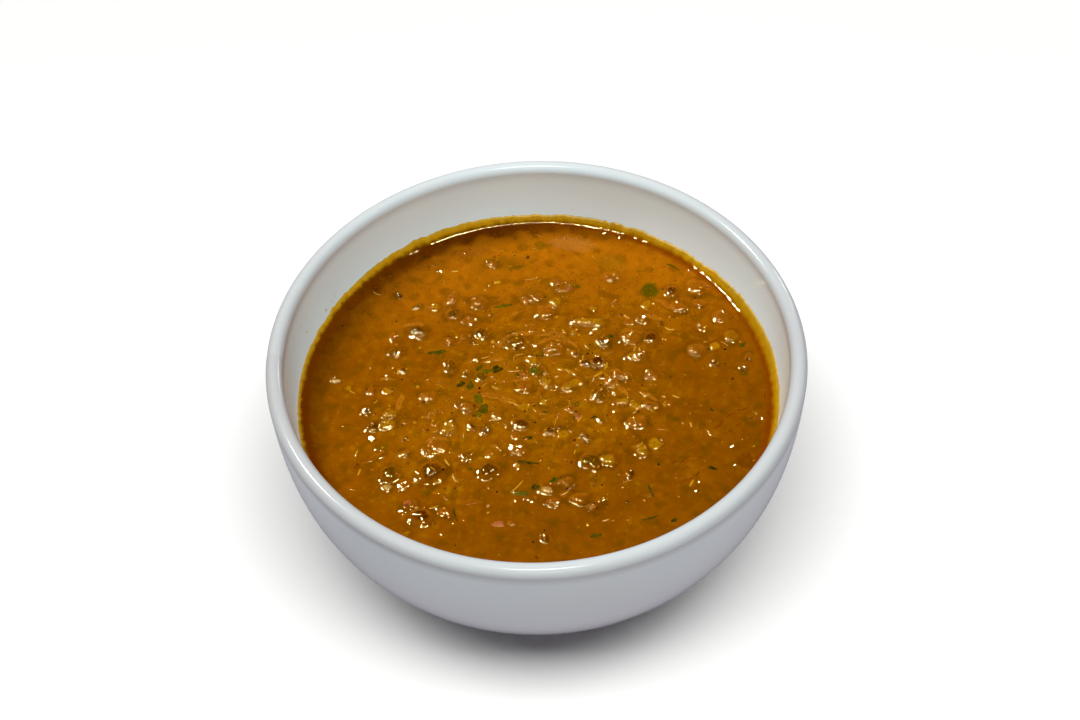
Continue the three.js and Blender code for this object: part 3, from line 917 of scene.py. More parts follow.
def busy_at(x, y):
    """How many fine flecks the sauce holds, from 0 to 1."""
    busy = np.clip(0.3 + 0.6 * thick_at(x, y) + 0.4 * fade(y, 12, 40), 0, 1)
    return busy * fade(DAL_RADIUS - np.hypot(x, y), 1, 5)


def film_at(x, y):
    """1 where the sauce is only a thin film that has dried a little on the china, and 0 elsewhere."""
    edge_radius, _ = sauce_edge(np.arctan2(y, x))
    return fade(edge_radius - np.hypot(x, y), 1.3, 0.5)


def sauce_values_at(x, y):
    return {"crumbly": crumbly_at(x, y), "busy": busy_at(x, y), "film": film_at(x, y)}


def join(parts):
    """Several sets of points and faces as one."""
    points, faces, start = [], [], 0
    for part_points, part_faces in parts:
        points.append(part_points)
        faces += [tuple(start + int(i) for i in face) for face in part_faces]
        start += len(part_points)
    return np.vstack(points), faces


# The rings of a lump's cap, as shares of its half width, and of the sauce that climbs it, as shares of
# its skirt. The last ring of a patch is tucked under the sauce.
CAP_RINGS = (0.2, 0.4, 0.56, 0.68, 0.78, 0.86, 0.93, 1.0)
SKIRT_RINGS = (0.15, 0.35, 0.6, 0.95, 1.4, 2.0, 2.8)
FACE_RINGS = (0.28, 0.52, 0.72, 0.88, 1.0, 1.1, 1.2, 1.35, 1.5)
TUCK = 0.12
PATCH_PROUD = 0.012
FACE_PATCH_PROUD = 0.02
PATCH_DEEP = 4.0


def patch(lump, offs, sides, proud):
    """The sauce over one lump, in fine rings, closed by a cone hidden in the dal."""
    angles = even_turns(sides)
    offs = np.array([*offs, offs[-1] + 0.03])[:, None]
    beyond = np.maximum(offs - 1, 0) * lump.narrow
    along = (np.minimum(offs, 1) + beyond / lump.long) * np.cos(angles)
    beside = (np.minimum(offs, 1) + beyond / lump.wide) * np.sin(angles)
    x, y = lump.place(along.ravel(), beside.ravel())
    x, y = unwandered(np.concatenate([[lump.x], x, [lump.x]]), np.concatenate([[lump.y], y, [lump.y]]))
    raised = np.full(len(x), proud)
    raised[-sides - 1:] = -TUCK
    raised[-1] = -PATCH_DEEP
    return np.column_stack([x, y, raised]), closed_rings(len(offs), sides)


def lump_patch(lump):
    """The sauce over a lentil or a ridge, with more sides the longer it is."""
    sides = int(np.clip(round(lump.long * 9 + 12), 18, 44))
    skirt = [1 + ring * lump.skirt / lump.narrow for ring in SKIRT_RINGS]
    return patch(lump, [*CAP_RINGS, *skirt], sides, PATCH_PROUD)


def face_patch(face):
    """The sauce over a wet face, with more sides the longer it is."""
    sides = int(np.clip(round(face.long * 14 + 10), 16, 44))
    return patch(face, FACE_RINGS, sides, FACE_PATCH_PROUD)


# What mirrors in wet sauce comes back golden, because turmeric has coloured the fat on it.
GOLDEN_MIRROR = (1.0, 0.8, 0.34, 1.0)
WET = 1.3


def soaked(share, reach, deep_mm):
    """A look for what lets a share of the light in, and how far each colour of it goes."""
    return {"Subsurface_Weight": share, "Subsurface_Radius": reach, "Subsurface_Scale": deep_mm * MM}


def sauce_finish():
    sauce = Finish("dal_sauce")
    tint = sauce.read("tint", "Color")
    shade = sauce.mix(sauce.mottle(1.6, 0, 1, detail=3, sharp=0.7), tint, (0.84, 0.81, 0.78), "MULTIPLY")
    busy = sauce.read("busy")
    clustered = sauce.sum(busy, sauce.mottle(5, 0.0, 0.7, sharp=0.6, shift=0.5), "MULTIPLY")
    light_fleck = sauce.sum(sauce.mottle(0.9, -4.6, 1.2, detail=1, shift=0.3), clustered, "MULTIPLY")
    dark_fleck = sauce.sum(sauce.mottle(0.7, -4.4, 1.2, detail=1, shift=0.7), busy, "MULTIPLY")
    flecked = sauce.mix(dark_fleck, sauce.mix(light_fleck, shade, linear(212, 146, 10)), linear(100, 60, 0))
    grainy = sauce.sum(sauce.mottle(2.2, 0, 1, detail=1, sharp=0.8), sauce.read("crumbly"), "MULTIPLY")
    dried = sauce.sum(sauce.read("film"), 0.45, "MULTIPLY")
    return sauce.dress(Base_Color=flecked, Roughness=sauce.sum(sauce.mottle(6, 0.035, 0.07), dried),
                       Normal=sauce.bump(grainy, 0.3), IOR=WET, Specular_Tint=GOLDEN_MIRROR,
                       **soaked(0.08, (1.0, 0.45, 0.05), 0.5))


sauce_look = sauce_finish()


def patch_piece(name, parts):
    """Patches of the sauce's surface as one piece, attached to the root body like the dal."""
    points, faces = join(parts)
    x, y = points[:, 0], points[:, 1]
    points[:, 2] += sauce_height(x, y)
    piece = shape(name, points, faces, sauce_look, sauce_tint(x, y), sauce_values_at(x, y), facing(x, y))
    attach(piece, "root")
    return piece


whole = patch_piece("whole_lentils", [lump_patch(lump) for lump in lentils])
folds = patch_piece("folded_skins", [lump_patch(lump) for lump in ridges])
gleams = patch_piece("wet_faces", [face_patch(face) for face in facets])


# ---- The dal -------------------------------------------------------------------------
# The sauce of broken-down lentils with turmeric and ghee, ladled in while hot. It is thick enough
# to keep lumps standing, coats whatever is in it, and clings to the china in a thin yellow film.

SAUCE_RINGS = 172
WIDER_OUTWARD = 0.12
SIDE_RINGS = (0.12, 0.35, 0.6, 0.8, 0.93, 0.99)
DIP_UNDER_LUMPS = 0.35
DIP_UNDER_FACES = 0.12


def dip(x, y):
    """How far this coarser surface stays under the fine ones over the lumps."""
    x, y = wandered(x, y)
    deep = np.zeros_like(x, dtype=float)
    for lump in lumps:
        near, off = lump.around(x, y, 3 * lump.skirt)
        beyond = (off - 1) * lump.narrow
        deep[near] = np.maximum(deep[near], fade(beyond, 1.9 * lump.skirt, 0.9 * lump.skirt))
    deep *= DIP_UNDER_LUMPS
    for face in facets:
        near, off = face.around(x, y, 0.3)
        deep[near] = np.maximum(deep[near], DIP_UNDER_FACES * fade(off, 1.3, 1.0))
    return deep


def ring_disc(rings):
    """A disc of near-equal triangles: ring number i has 6 i points. Places as shares of the radius."""
    places = [(0.0, 0.0)]
    faces = []
    start_in = 0
    for ring in range(1, rings + 1):
        share = ring / rings
        out = (1 - WIDER_OUTWARD) * share + WIDER_OUTWARD * share**3
        start_out = len(places)
        angles = even_turns(6 * ring)
        places += list(zip(out * np.cos(angles), out * np.sin(angles)))
        count_in = max(1, 6 * (ring - 1))
        for side in range(6):
            for step in range(ring):
                here = start_out + side * ring + step
                following = start_out + (side * ring + step + 1) % (6 * ring)
                inner = start_in + (side * (ring - 1) + step) % count_in
                faces.append((inner, here, following))
                if step < ring - 1:
                    inner_next = start_in + (side * (ring - 1) + step + 1) % count_in
                    faces.append((inner, following, inner_next))
        start_in = start_out
    return np.array(places), faces


def sauce_body():
    """The sauce down to the bottom of the bowl, as one closed body."""
    places, faces = ring_disc(SAUCE_RINGS)
    round_count = 6 * SAUCE_RINGS
    edge_radius, _ = sauce_edge(np.arctan2(places[:, 1], places[:, 0]))
    x, y = places[:, 0] * edge_radius, places[:, 1] * edge_radius
    points = [np.column_stack([x, y, sauce_height(x, y) - dip(x, y)])]
    edge = places[-round_count:]
    edge_height = points[0][-round_count:, 2]
    bottom = lip_height - inside_depth
    above = len(places) - round_count
    total = len(places)
    sideways = [facing(x, y)]
    for share in SIDE_RINGS:
        height = edge_height + (bottom - edge_height) * share
        radius = china_inside(height) + INTO_CHINA
        points.append(np.column_stack([edge * radius[:, None], height]))
        sideways.append(np.column_stack([edge, np.zeros(round_count) - share]))
        faces += [(above + i, total + i, total + j, above + j) for i, j in neighbours(round_count)]
        above = total
        total += round_count
    points.append([(0, 0, bottom)])
    sideways.append([(0, 0, -1)])
    faces += [(above + j, above + i, total) for i, j in neighbours(round_count)]
    hidden = total + 1 - len(places)
    tints = np.vstack([sauce_tint(x, y), np.tile(SAUCE, (hidden, 1))])
    values = {name: np.append(value, np.zeros(hidden)) for name, value in sauce_values_at(x, y).items()}
    return np.vstack(points), faces, tints, values, np.vstack(sideways)


sauce_points, sauce_faces, sauce_tints, sauce_values, sauce_facing = sauce_body()
dal = shape("dal_sauce", sauce_points, sauce_faces, sauce_look, sauce_tints, sauce_values, sauce_facing)
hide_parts("dal")
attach(dal, "root")


# ---- The mash ------------------------------------------------------------------------
# Grains of broken lentil, a third to a little over one millimetre long, that stand out of the
# sauce wherever the dal is thick. They are orange, yellow and tan, and as wet as the rest.

GRAIN_RINGS = ((0.45, 0.97), (0.75, 0.78), (1.0, 0.3), (1.4, -0.35))
GRAIN_SIDES = 9
STEEPEST_LEAN = 0.7


def grain(x, y, long, wide, tall, turn, height, lean):
    """One grain with a nearly flat top, whose foot runs out into the sauce."""
    angles = even_turns(GRAIN_SIDES)
    uneven = RANDOM.uniform(0.85, 1.15, GRAIN_SIDES)
    ring_out, ring_up = np.array(GRAIN_RINGS).T
    along = np.concatenate([[0], np.outer(ring_out, long * np.cos(angles) * uneven).ravel(), [0]])
    beside = np.concatenate([[0], np.outer(ring_out, wide * np.sin(angles) * uneven).ravel(), [0]])
    up = np.concatenate([[tall], np.repeat(ring_up * tall, GRAIN_SIDES), [-0.5 * tall - 0.1]])
    dx, dy = turned_by(turn, along, beside)
    points = np.column_stack([x + dx, y + dy, height + up + lean[0] * dx + lean[1] * dy])
    return points, closed_rings(len(GRAIN_RINGS), GRAIN_SIDES)


def toned(part, tone):
    """One tone for every point of a part."""
    return np.tile(tone, (len(part[0]), 1))


TONE_SPREAD = 0.12


def grains(places, sizes, tall_share, tones, tone_shares, glinting=0.0):
    """Many grains, each on the sauce, with tones picked at random."""
    places = np.array(places)
    x, y = places[:, 0], places[:, 1]
    heights = sauce_height(x, y)
    slope_x, slope_y = sauce_slope(x, y)
    parts, tints = [], []
    for i in range(len(places)):
        long = RANDOM.uniform(*sizes) / 2
        wide = long * RANDOM.uniform(0.5, 1.0)
        tall = wide * RANDOM.uniform(*tall_share)
        towards = RANDOM.normal(0, 0.3, 2)
        if RANDOM.random() < glinting:
            light_at = WINDOW_AT if RANDOM.random() < 0.6 else LAMP_AT
            towards = np.array(gleaming_slope(x[i], y[i], light_at)) + RANDOM.normal(0, 0.05, 2)
        lean = np.clip(towards, -STEEPEST_LEAN, STEEPEST_LEAN)
        foot = max(abs(lean[0] - slope_x[i]), abs(lean[1] - slope_y[i])) * wide * 0.8
        parts.append(grain(x[i], y[i], long, wide, tall, RANDOM.uniform(0, math.pi),
                           heights[i] + foot * 0.4 - tall * 0.2, lean))
        tone = tones[RANDOM.choice(len(tones), p=tone_shares)]
        tone = tone * RANDOM.uniform(1 - TONE_SPREAD, 1 + TONE_SPREAD)
        tints.append(toned(parts[-1], tone))
    return join(parts), np.vstack(tints)


def beside_lumps(count):
    """Random places on and just in front of the lentils, where grains collect."""
    places = []
    for _ in range(count):
        lump = lentils[RANDOM.integers(len(lentils))]
        turn_now, off = RANDOM.uniform(0, 2 * math.pi), math.sqrt(RANDOM.uniform(0, 1.6))
        x, y = lump.place(off * math.cos(turn_now), off * math.sin(turn_now) - 0.2)
        if lump.bare < SMOOTH_WHEN_BARE:
            places.append((x, y))
    return places


MASH_GRAINS = 620
MASH_BESIDE_LUMPS = 360
MASH_LONG = (0.3, 1.1)
MASH_TALL_SHARE = (0.3, 0.8)
MASH_TONES = (ORANGE, YELLOW, TAN, BROWN, PALE_BITS_AND_HIGHLIGHT, SAUCE)
MASH_SHARES = (0.28, 0.18, 0.08, 0.08, 0.04, 0.34)

mash_places = scatter(MASH_GRAINS, DAL_RADIUS - 2.5, 0.35) + beside_lumps(MASH_BESIDE_LUMPS)
(mash_points, mash_faces), mash_tints = grains(
    mash_places, MASH_LONG, MASH_TALL_SHARE, MASH_TONES, MASH_SHARES, glinting=0.15)


def patchy_finish(name, patches, tone, rough, base=None, **look):
    """A finish with patches of a tone, of a size and share, over a base or the mesh's own tints."""
    finish = Finish(name)
    under = finish.read("tint", "Color") if base is None else base
    patchy = finish.mix(finish.mottle(patches[0], 0, patches[1]), under, tone)
    return finish.dress(Base_Color=patchy, Roughness=finish.mottle(*rough), **look)


mash_look = patchy_finish("lentil_mash", (0.4, 0.5), linear(140, 78, 0), (0.8, 0.05, 0.12), IOR=WET,
                          Specular_Tint=GOLDEN_MIRROR, **soaked(0.1, (1.0, 0.5, 0.1), 0.4))
mash = shape("lentil_mash", mash_points, mash_faces, mash_look, mash_tints)
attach(mash, "root")


# ---- The skins -----------------------------------------------------------------------
# Shreds of yellow lentil skin, curled and tapering, that lie flat in the surface of the sauce
# with sauce over most of their width.

STRAND_STEPS = 9
STRAND_SIDES = 6


def strand(x, y, long, wide, thick, turn, bend, proud):
    """A tapering strip, wider than thick, curved and laid on the sauce."""
    run = np.linspace(-0.5, 0.5, STRAND_STEPS)
    angle = turn + bend * run
    half_way = (angle[1:] + angle[:-1]) / 2
    step_long = long / (STRAND_STEPS - 1)
    path_x = np.append(0, np.cumsum(np.cos(half_way) * step_long))
    path_y = np.append(0, np.cumsum(np.sin(half_way) * step_long))
    path_x += x - path_x.mean()
    path_y += y - path_y.mean()
    taper = np.clip(np.sqrt(np.maximum(1 - (2 * run) ** 2, 0)) * 1.15, 0.12, 1)
    height = sauce_height(path_x, path_y)
    height = np.convolve(np.pad(height, 1, "edge"), (0.25, 0.5, 0.25), "valid") + proud
    side = np.outer(wide / 2 * taper, np.cos(even_turns(STRAND_SIDES)))
    up = np.outer(thick / 2 * taper, np.sin(even_turns(STRAND_SIDES)))
    px = path_x[:, None] - np.sin(angle)[:, None] * side
    py = path_y[:, None] + np.cos(angle)[:, None] * side
    points = np.stack([px, py, height[:, None] + up], -1).reshape(-1, 3)
    last = (STRAND_STEPS - 1) * STRAND_SIDES
    faces = [(a + i, a + STRAND_SIDES + i, a + STRAND_SIDES + j, a + j)
             for a in range(0, last, STRAND_SIDES) for i, j in neighbours(STRAND_SIDES)]
    ends = [tuple(range(STRAND_SIDES)), tuple(last + i for i in reversed(range(STRAND_SIDES)))]
    return points, faces + ends


def seen_strand(across, down, long, wide, turn, bend, proud=0.0, thick=0.25):
    """A strand at a place in the diner's view, turned by degrees and bent by radians along its length."""
    x, y = seen_at(across, down, LUMP_LEVEL)
    return strand(x, y, long, wide, thick, math.radians(turn), bend, proud)


BRIGHT_SKIN = linear(224, 168, 22)
DULL_SKIN = linear(190, 120, 10)
DAMP = 1.25
SCATTERED_SKINS = 80
SCATTERED_THICK = 0.2

# The ones that stand out: place, length, width, turn and bend, and how proud of the sauce if at all.
SEEN_SKINS = (
    (514, 403, 4.2, 0.8, -28, 0.2), (495, 387, 2.4, 0.9, -30, 0.3), (456, 406, 2.6, 0.6, -60, 0.4),
    (486, 357, 3.4, 0.5, 20, 1.0), (514, 370, 4.4, 0.5, 0, 0.2), (606, 365, 3.4, 0.8, 70, 0.2),
    (598, 373, 3.6, 0.7, 35, 0.6), (632, 358, 3.4, 0.8, -35, 0.8), (580, 417, 3.2, 0.7, 60, 0.3),
    (670, 328, 3.8, 0.7, -15, 1.6), (627, 316, 2.6, 0.9, -50, 0.5), (614, 275, 1.6, 0.8, 80, 0.2, 0.05),
    (564, 331, 2.6, 0.8, -60, 0.3), (676, 396, 2.4, 0.6, -30, 0.2), (517, 486, 6.0, 0.6, 48, 0.2, 0.05),
    (447, 462, 3.2, 0.7, -60, 0.3), (455, 478, 3.6, 0.6, -55, 0.4), (454, 477, 3.6, 0.5, -75, 0.3),
    (359, 471, 2.8, 0.6, 75, 0.6), (398, 370, 2.2, 0.6, 85, 0.5), (352, 391, 2.6, 0.4, -35, 0.4),
    (691, 424, 1.8, 0.6, 100, 0.3), (692, 482, 2.8, 0.8, 60, 0.4), (640, 445, 3.4, 0.6, 50, 1.4),
    (645, 448, 2.2, 0.5, -80, 1.0), (530, 278, 3.6, 0.35, 8, 0.9), (455, 270, 2.6, 0.9, 0, 0.2),
    (497, 281, 2.2, 1.3, 10, 0.2), (565, 492, 3.0, 0.5, 30, 0.5), (583, 463, 2.8, 0.5, -45, 0.6, 0.05),
    (606, 519, 2.2, 0.5, 20, 0.3),
)
skin_parts = [seen_strand(*seen) for seen in SEEN_SKINS]
skin_tints = [toned(part, BRIGHT_SKIN) for part in skin_parts]
for x, y in scatter(SCATTERED_SKINS, DAL_RADIUS - 4, 1.5):
    long, wide = RANDOM.uniform(0.8, 3.6), RANDOM.uniform(0.25, 0.6)
    strand_turn, bend = RANDOM.uniform(-1.2, 1.4), RANDOM.uniform(-1.4, 1.4)
    proud = RANDOM.uniform(-0.05, 0.05)
    skin_parts.append(strand(x, y, long, wide, SCATTERED_THICK, strand_turn, bend, proud))
    share = RANDOM.random()
    skin_tints.append(toned(skin_parts[-1], DULL_SKIN * share + BRIGHT_SKIN * (1 - share)))

skin_look = patchy_finish("yellow_skin", (0.8, 0.7), linear(176, 106, 4), (0.8, 0.1, 0.25), IOR=DAMP,
                          **soaked(0.3, (1.0, 0.6, 0.1), 0.5))
skins = shape("yellow_skins", *join(skin_parts), skin_look, np.vstack(skin_tints))
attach(skins, "root")


# ---- The herbs -----------------------------------------------------------------------
# Chopped coriander leaf and stem, stirred in at the end: dark where it is wet, thin, torn at the
# edges, and partly under the sauce.

STEM = linear(84, 84, 1)
LEAF_TONES = (linear(54, 56, 0), STEM, linear(116, 110, 2))
LEAF_SHARES = (0.4, 0.4, 0.2)
HERB_MIRROR = (1.0, 0.9, 0.4, 1.0)
NEARLY_DULL = 1.05

# A leaf's lobes reach a little further out than half its length and width, and tears take some of that
# away again.
LEAF_SIDES = 16
LEAF_RINGS = (0.4, 0.75, 1.0)
LEAF_LONG = 0.64
LEAF_WIDE = 0.66
LEAF_THICK = 0.14
LEAF_ABOVE_SAUCE = 0.05
LEAF_SAG = 0.12


def leaf(across, down, long, wide, turn, proud, curl=0.1):
    """A torn scrap of leaf that follows the sauce, with one side lifted and its edge a little lower."""
    x, y = seen_at(across, down, LUMP_LEVEL)
    angles = even_turns(LEAF_SIDES)
    three_turn, five_turn = RANDOM.uniform(0, 6), RANDOM.uniform(0, 6)
    lobes = 1 + 0.16 * np.sin(3 * angles + three_turn) + 0.12 * np.sin(5 * angles + five_turn)
    lobes = lobes * RANDOM.uniform(0.85, 1.1, LEAF_SIDES)
    along = np.append(0, np.outer(LEAF_RINGS, long * LEAF_LONG * lobes * np.cos(angles)))
    beside = np.append(0, np.outer(LEAF_RINGS, wide * LEAF_WIDE * lobes * np.sin(angles)))
    dx, dy = turned_by(math.radians(turn), along, beside)
    lifted = curl * beside / (wide / 2) - LEAF_SAG * np.hypot(along / long, beside / wide)
    lifted += LEAF_ABOVE_SAUCE + proud + RANDOM.normal(0, 0.015, len(dx))
    top = np.column_stack([x + dx, y + dy, sauce_height(x + dx, y + dy) + lifted])
    upper = closed_rings(len(LEAF_RINGS), LEAF_SIDES)[:-LEAF_SIDES]
    count = len(top)
    lower = [tuple(count + k for k in reversed(face)) for face in upper]
    rim = count - LEAF_SIDES
    edge = [(rim + i, count + rim + i, count + rim + j, rim + j) for i, j in neighbours(LEAF_SIDES)]
    return np.vstack([top, top - (0, 0, LEAF_THICK)]), upper + lower + edge


# Each leaf's place, length, width and turn, and how proud of the sauce it lies.
SEEN_LEAVES = (
    (504, 305, 4.6, 1.5, 8, 0.04), (437, 352, 4.6, 1.6, 6, 0.08), (497, 369, 2.6, 2.2, 20, 0.12),
    (485, 372, 3.6, 1.6, 25, 0.10), (480, 368, 2.2, 1.6, 60, 0.03), (461, 384, 2.4, 1.6, 30, 0.05),
    (470, 386, 1.8, 3.2, 0, 0.06), (479, 400, 2.0, 4.4, 12, 0.06), (484, 410, 2.4, 3.6, 20, 0.10),
    (478, 416, 2.0, 1.8, 0, 0.03), (534, 371, 2.8, 2.2, -20, 0.06), (517, 375, 1.4, 1.6, -30, 0.02),
    (546, 411, 1.8, 0.9, 0, 0.03), (528, 438, 2.6, 1.2, 0, 0.05), (542, 356, 1.4, 2.0, 0, 0.03),
    (527, 463, 5.0, 1.2, -6, 0.03), (521, 493, 3.8, 1.5, -5, 0.08), (536, 487, 2.2, 1.8, 20, 0.05),
    (555, 480, 2.4, 2.2, 30, 0.02), (576, 404, 1.8, 2.0, 0, 0.05), (594, 417, 1.8, 1.4, 0, 0.03),
    (743, 344, 2.6, 1.2, 40, 0.04), (712, 468, 2.6, 1.2, -15, 0.01), (574, 286, 3.6, 0.9, 0, 0.05),
    (610, 337, 2.0, 1.6, 0, 0.05), (712, 410, 0.9, 1.2, 0, 0.02), (596, 536, 2.6, 1.6, 10, 0.02),
    (709, 349, 0.9, 0.7, 0, 0.03), (675, 520, 2.2, 1.3, 20, 0.0), (470, 470, 1.2, 0.9, 0, 0.0),
)
leaf_parts = [leaf(*seen) for seen in SEEN_LEAVES]
leaf_tints = [toned(part, LEAF_TONES[RANDOM.choice(3, p=LEAF_SHARES)]) for part in leaf_parts]

# Each stem's place, length, width, turn and bend, how proud of the sauce it lies, and how thick it is.
SEEN_STEMS = (
    (651, 490, 5.2, 0.9, -75, 0.2, -0.02, 0.5), (650, 517, 5.6, 0.6, 15, 0.3, -0.02, 0.4),
    (455, 514, 5.6, 0.6, -75, 0.4, 0.0, 0.4), (673, 266, 6.0, 0.5, -40, -0.6, 0.05, 0.4),
    (511, 332, 2.6, 0.4, 32, 0.2, 0.05, 0.3), (560, 477, 2.2, 0.5, 60, 0.5, 0.05, 0.3),
)
stem_parts = [seen_strand(*seen) for seen in SEEN_STEMS]
leaf_tints += [toned(part, STEM) for part in stem_parts]


def herb_finish():
    herb = Finish("chopped_coriander")
    tone = herb.mix(herb.mottle(0.8, 0, 0.8), herb.read("tint", "Color"), linear(34, 36, 2))
    edged = herb.mix(herb.mottle(1.0, -0.5, 0.9, sharp=0.6, shift=0.2), tone, linear(136, 92, 4))
    vein = herb.bump(herb.mottle(0.6, 0, 1, detail=1), 0.08, 0.6)
    return herb.dress(Base_Color=edged, Roughness=herb.mottle(0.8, 0.25, 0.45), Normal=vein,
                      IOR=NEARLY_DULL, Specular_Tint=HERB_MIRROR)


herbs = shape("chopped_herbs", *join(leaf_parts + stem_parts), herb_finish(), np.vstack(leaf_tints))
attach(herbs, "root")


# ---- The spices ----------------------------------------------------------------------
# Black specks of cumin and mustard seed, crushed and fried in the oil, and four small red bits of
# tomato or chilli. All of them were stirred in, and float in the skin of the sauce.

SPECK = linear(26, 14, 2)
SPECK_BROWN = linear(64, 32, 8)
SPECK_LONG = (0.3, 0.75)
SPECK_TALL_SHARE = (0.4, 0.8)

SEEN_SPECKS = (
    (532, 367), (567, 460), (642, 385), (682, 324), (689, 403), (739, 397), (707, 338), (515, 524),
    (544, 529), (378, 385), (402, 378), (367, 389), (405, 413), (476, 379), (534, 405), (536, 356),
    (456, 310), (439, 306), (564, 400), (588, 353), (590, 344), (342, 325), (396, 320), (523, 356),
    (556, 301), (545, 296), (525, 410), (662, 343), (700, 336), (663, 289), (616, 334), (594, 504),
    (659, 464), (654, 443), (600, 498), (602, 484), (695, 298), (725, 348), (733, 378), (447, 452),
    (443, 471), (355, 467), (471, 341), (465, 374), (455, 487),
)
speck_places = [seen_at(across, down, LUMP_LEVEL) for across, down in SEEN_SPECKS]
SCATTERED_SPECKS = 40
speck_places += scatter(SCATTERED_SPECKS, DAL_RADIUS - 3, 2.0)
(speck_points, speck_faces), speck_tints = grains(
    speck_places, SPECK_LONG, SPECK_TALL_SHARE, (SPECK, SPECK_BROWN), (0.6, 0.4))

spice_look = patchy_finish("black_spice", (0.4, 0.5), linear(40, 22, 8), (0.6, 0.4, 0.6), IOR=NEARLY_DULL)
specks = shape("spice_specks", speck_points, speck_faces, spice_look, speck_tints)
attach(specks, "root")

# The red bits are torn like the leaves: place, length, width, turn, how proud they lie, and their curl.
SEEN_BITS = (
    (498, 523, 2.9, 1.5, -3, 0.10, 0.02), (407, 503, 1.8, 1.6, 20, 0.10, 0.05),
    (578, 416, 1.5, 1.5, 0, 0.15, 0.05), (570, 289, 1.2, 0.9, 0, 0.10, 0.02),
)
bit_parts = [leaf(*seen) for seen in SEEN_BITS]
bit_look = patchy_finish("tomato_bits", (0.9, 1), linear(196, 106, 52), (0.8, 0.2, 0.4),
                         linear(166, 76, 26), IOR=DAMP, Specular_Tint=GOLDEN_MIRROR,
                         **soaked(0.1, (1.0, 0.3, 0.1), 0.8))
bits = shape("tomato_bits", *join(bit_parts), bit_look)
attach(bits, "root")


# ---- The oil -------------------------------------------------------------------------
# Thin dark streaks of spiced oil that the ladle left on the sauce near the right of the bowl. They
# are films, made as narrow strips that stand just out of the sauce.

# Each streak's place, length, width, turn and bend, and how thick it is.
SEEN_STREAKS = (
    (719, 424, 4.6, 0.34, 42, 0.9, 0.14), (731, 414, 3.4, 0.30, 26, -0.9, 0.14),
    (744, 408, 4.2, 0.34, 18, 0.5, 0.14), (755, 408, 2.2, 0.28, 55, 0.8, 0.12),
    (765, 396, 3.2, 0.34, 82, 0.4, 0.14), (768, 412, 1.4, 0.40, 75, 0.2, 0.14),
    (739, 423, 2.0, 0.30, 20, 0.8, 0.12), (752, 417, 1.6, 0.36, 40, 0.3, 0.12),
    (694, 443, 2.4, 0.34, 30, -0.6, 0.12), (675, 461, 2.0, 0.34, 20, 0.8, 0.12),
    (697, 473, 2.6, 0.40, 50, 0.6, 0.14), (749, 454, 3.0, 0.44, 78, 0.4, 0.14),
    (757, 455, 1.4, 0.36, 60, 0.2, 0.12), (729, 431, 3.4, 0.26, 30, -0.7, 0.12),
    (711, 438, 2.6, 0.26, 22, 0.6, 0.12),
)
oil_parts = [seen_strand(*place, thick=thick) for *place, thick in SEEN_STREAKS]
oil_look = patchy_finish("spiced_oil", (0.8, 1), linear(140, 66, 0), (1.2, 0.06, 0.12),
                         linear(112, 46, 0), IOR=WET, Specular_Tint=GOLDEN_MIRROR)
oil = shape("oil_streaks", *join(oil_parts), oil_look)
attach(oil, "root")


# ---- The splashes --------------------------------------------------------------------
# Drops of sauce that landed on the china as the dal was ladled in, and dried there a little. They
# are low rounded domes, each a little longer down the wall than across.

# Each one's place in the diner's view, and its width.
SPLASHES = ((332, 302, 0.6), (326, 310, 0.9), (307, 332, 0.8), (301, 327, 0.5), (335, 296, 0.4))
DROP_RINGS = ((0.35, 1.0), (0.7, 0.8), (0.92, 0.4), (1.0, -0.4))
DROP_SIDES = 12
DROP_TALL = 0.12
DROP_LONGER = 1.2


def seen_on_china(frame_across, frame_down):
    """The place on the inside of the bowl that the camera sees at a place in its frame."""
    for height in np.linspace(rim_height, DAL_LEVEL, 500):
        x, y = seen_at(frame_across, frame_down, height)
        if math.hypot(x, y) > china_inside(height):
            return x, y, height
    return x, y, height


def drop(frame_across, frame_down, wide):
    """A low rounded drop on the wall, with a slightly uneven outline."""
    x, y, height = seen_on_china(frame_across, frame_down)
    out = Vector((x, y, 0)).normalized()
    lean = china_inside(height + 0.5) - china_inside(height - 0.5)
    up = Vector((out.x * lean, out.y * lean, 1)).normalized()
    inward = -(out - up * out.dot(up)).normalized()
    aside = up.cross(inward)
    middle = Vector((x, y, height))
    points = [middle + inward * DROP_TALL]
    for share, tall in DROP_RINGS:
        for angle in even_turns(DROP_SIDES):
            half_wide = wide / 2 * share * RANDOM.uniform(0.88, 1.12)
            on_wall = aside * math.cos(angle) + up * DROP_LONGER * math.sin(angle)
            points.append(middle + on_wall * half_wide + inward * DROP_TALL * tall)
    points.append(middle - inward * DROP_TALL * 0.6)
    return np.array([tuple(point) for point in points]), closed_rings(len(DROP_RINGS), DROP_SIDES)


splash_look = patchy_finish("dried_sauce", (0.6, 1), linear(226, 190, 110), (0.8, 0.25, 0.4),
                            linear(212, 166, 70))
splashes = shape("splashes", *join([drop(*splash) for splash in SPLASHES]), splash_look)
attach(splashes, "root")


# ---- The studio ----------------------------------------------------------------------
# A white table in a bright room. The china, the dal and the table each have soft lights of their own.
# What is wet or glazed mirrors only a window, a lamp overhead and, on the china, a narrow light behind
# on the right. Nothing here is part of the bowl.

FLOOR_HALF = 1.2
FLOOR_AS_SEEN = 1.0
FLOOR_AS_MIRROR = 0.4


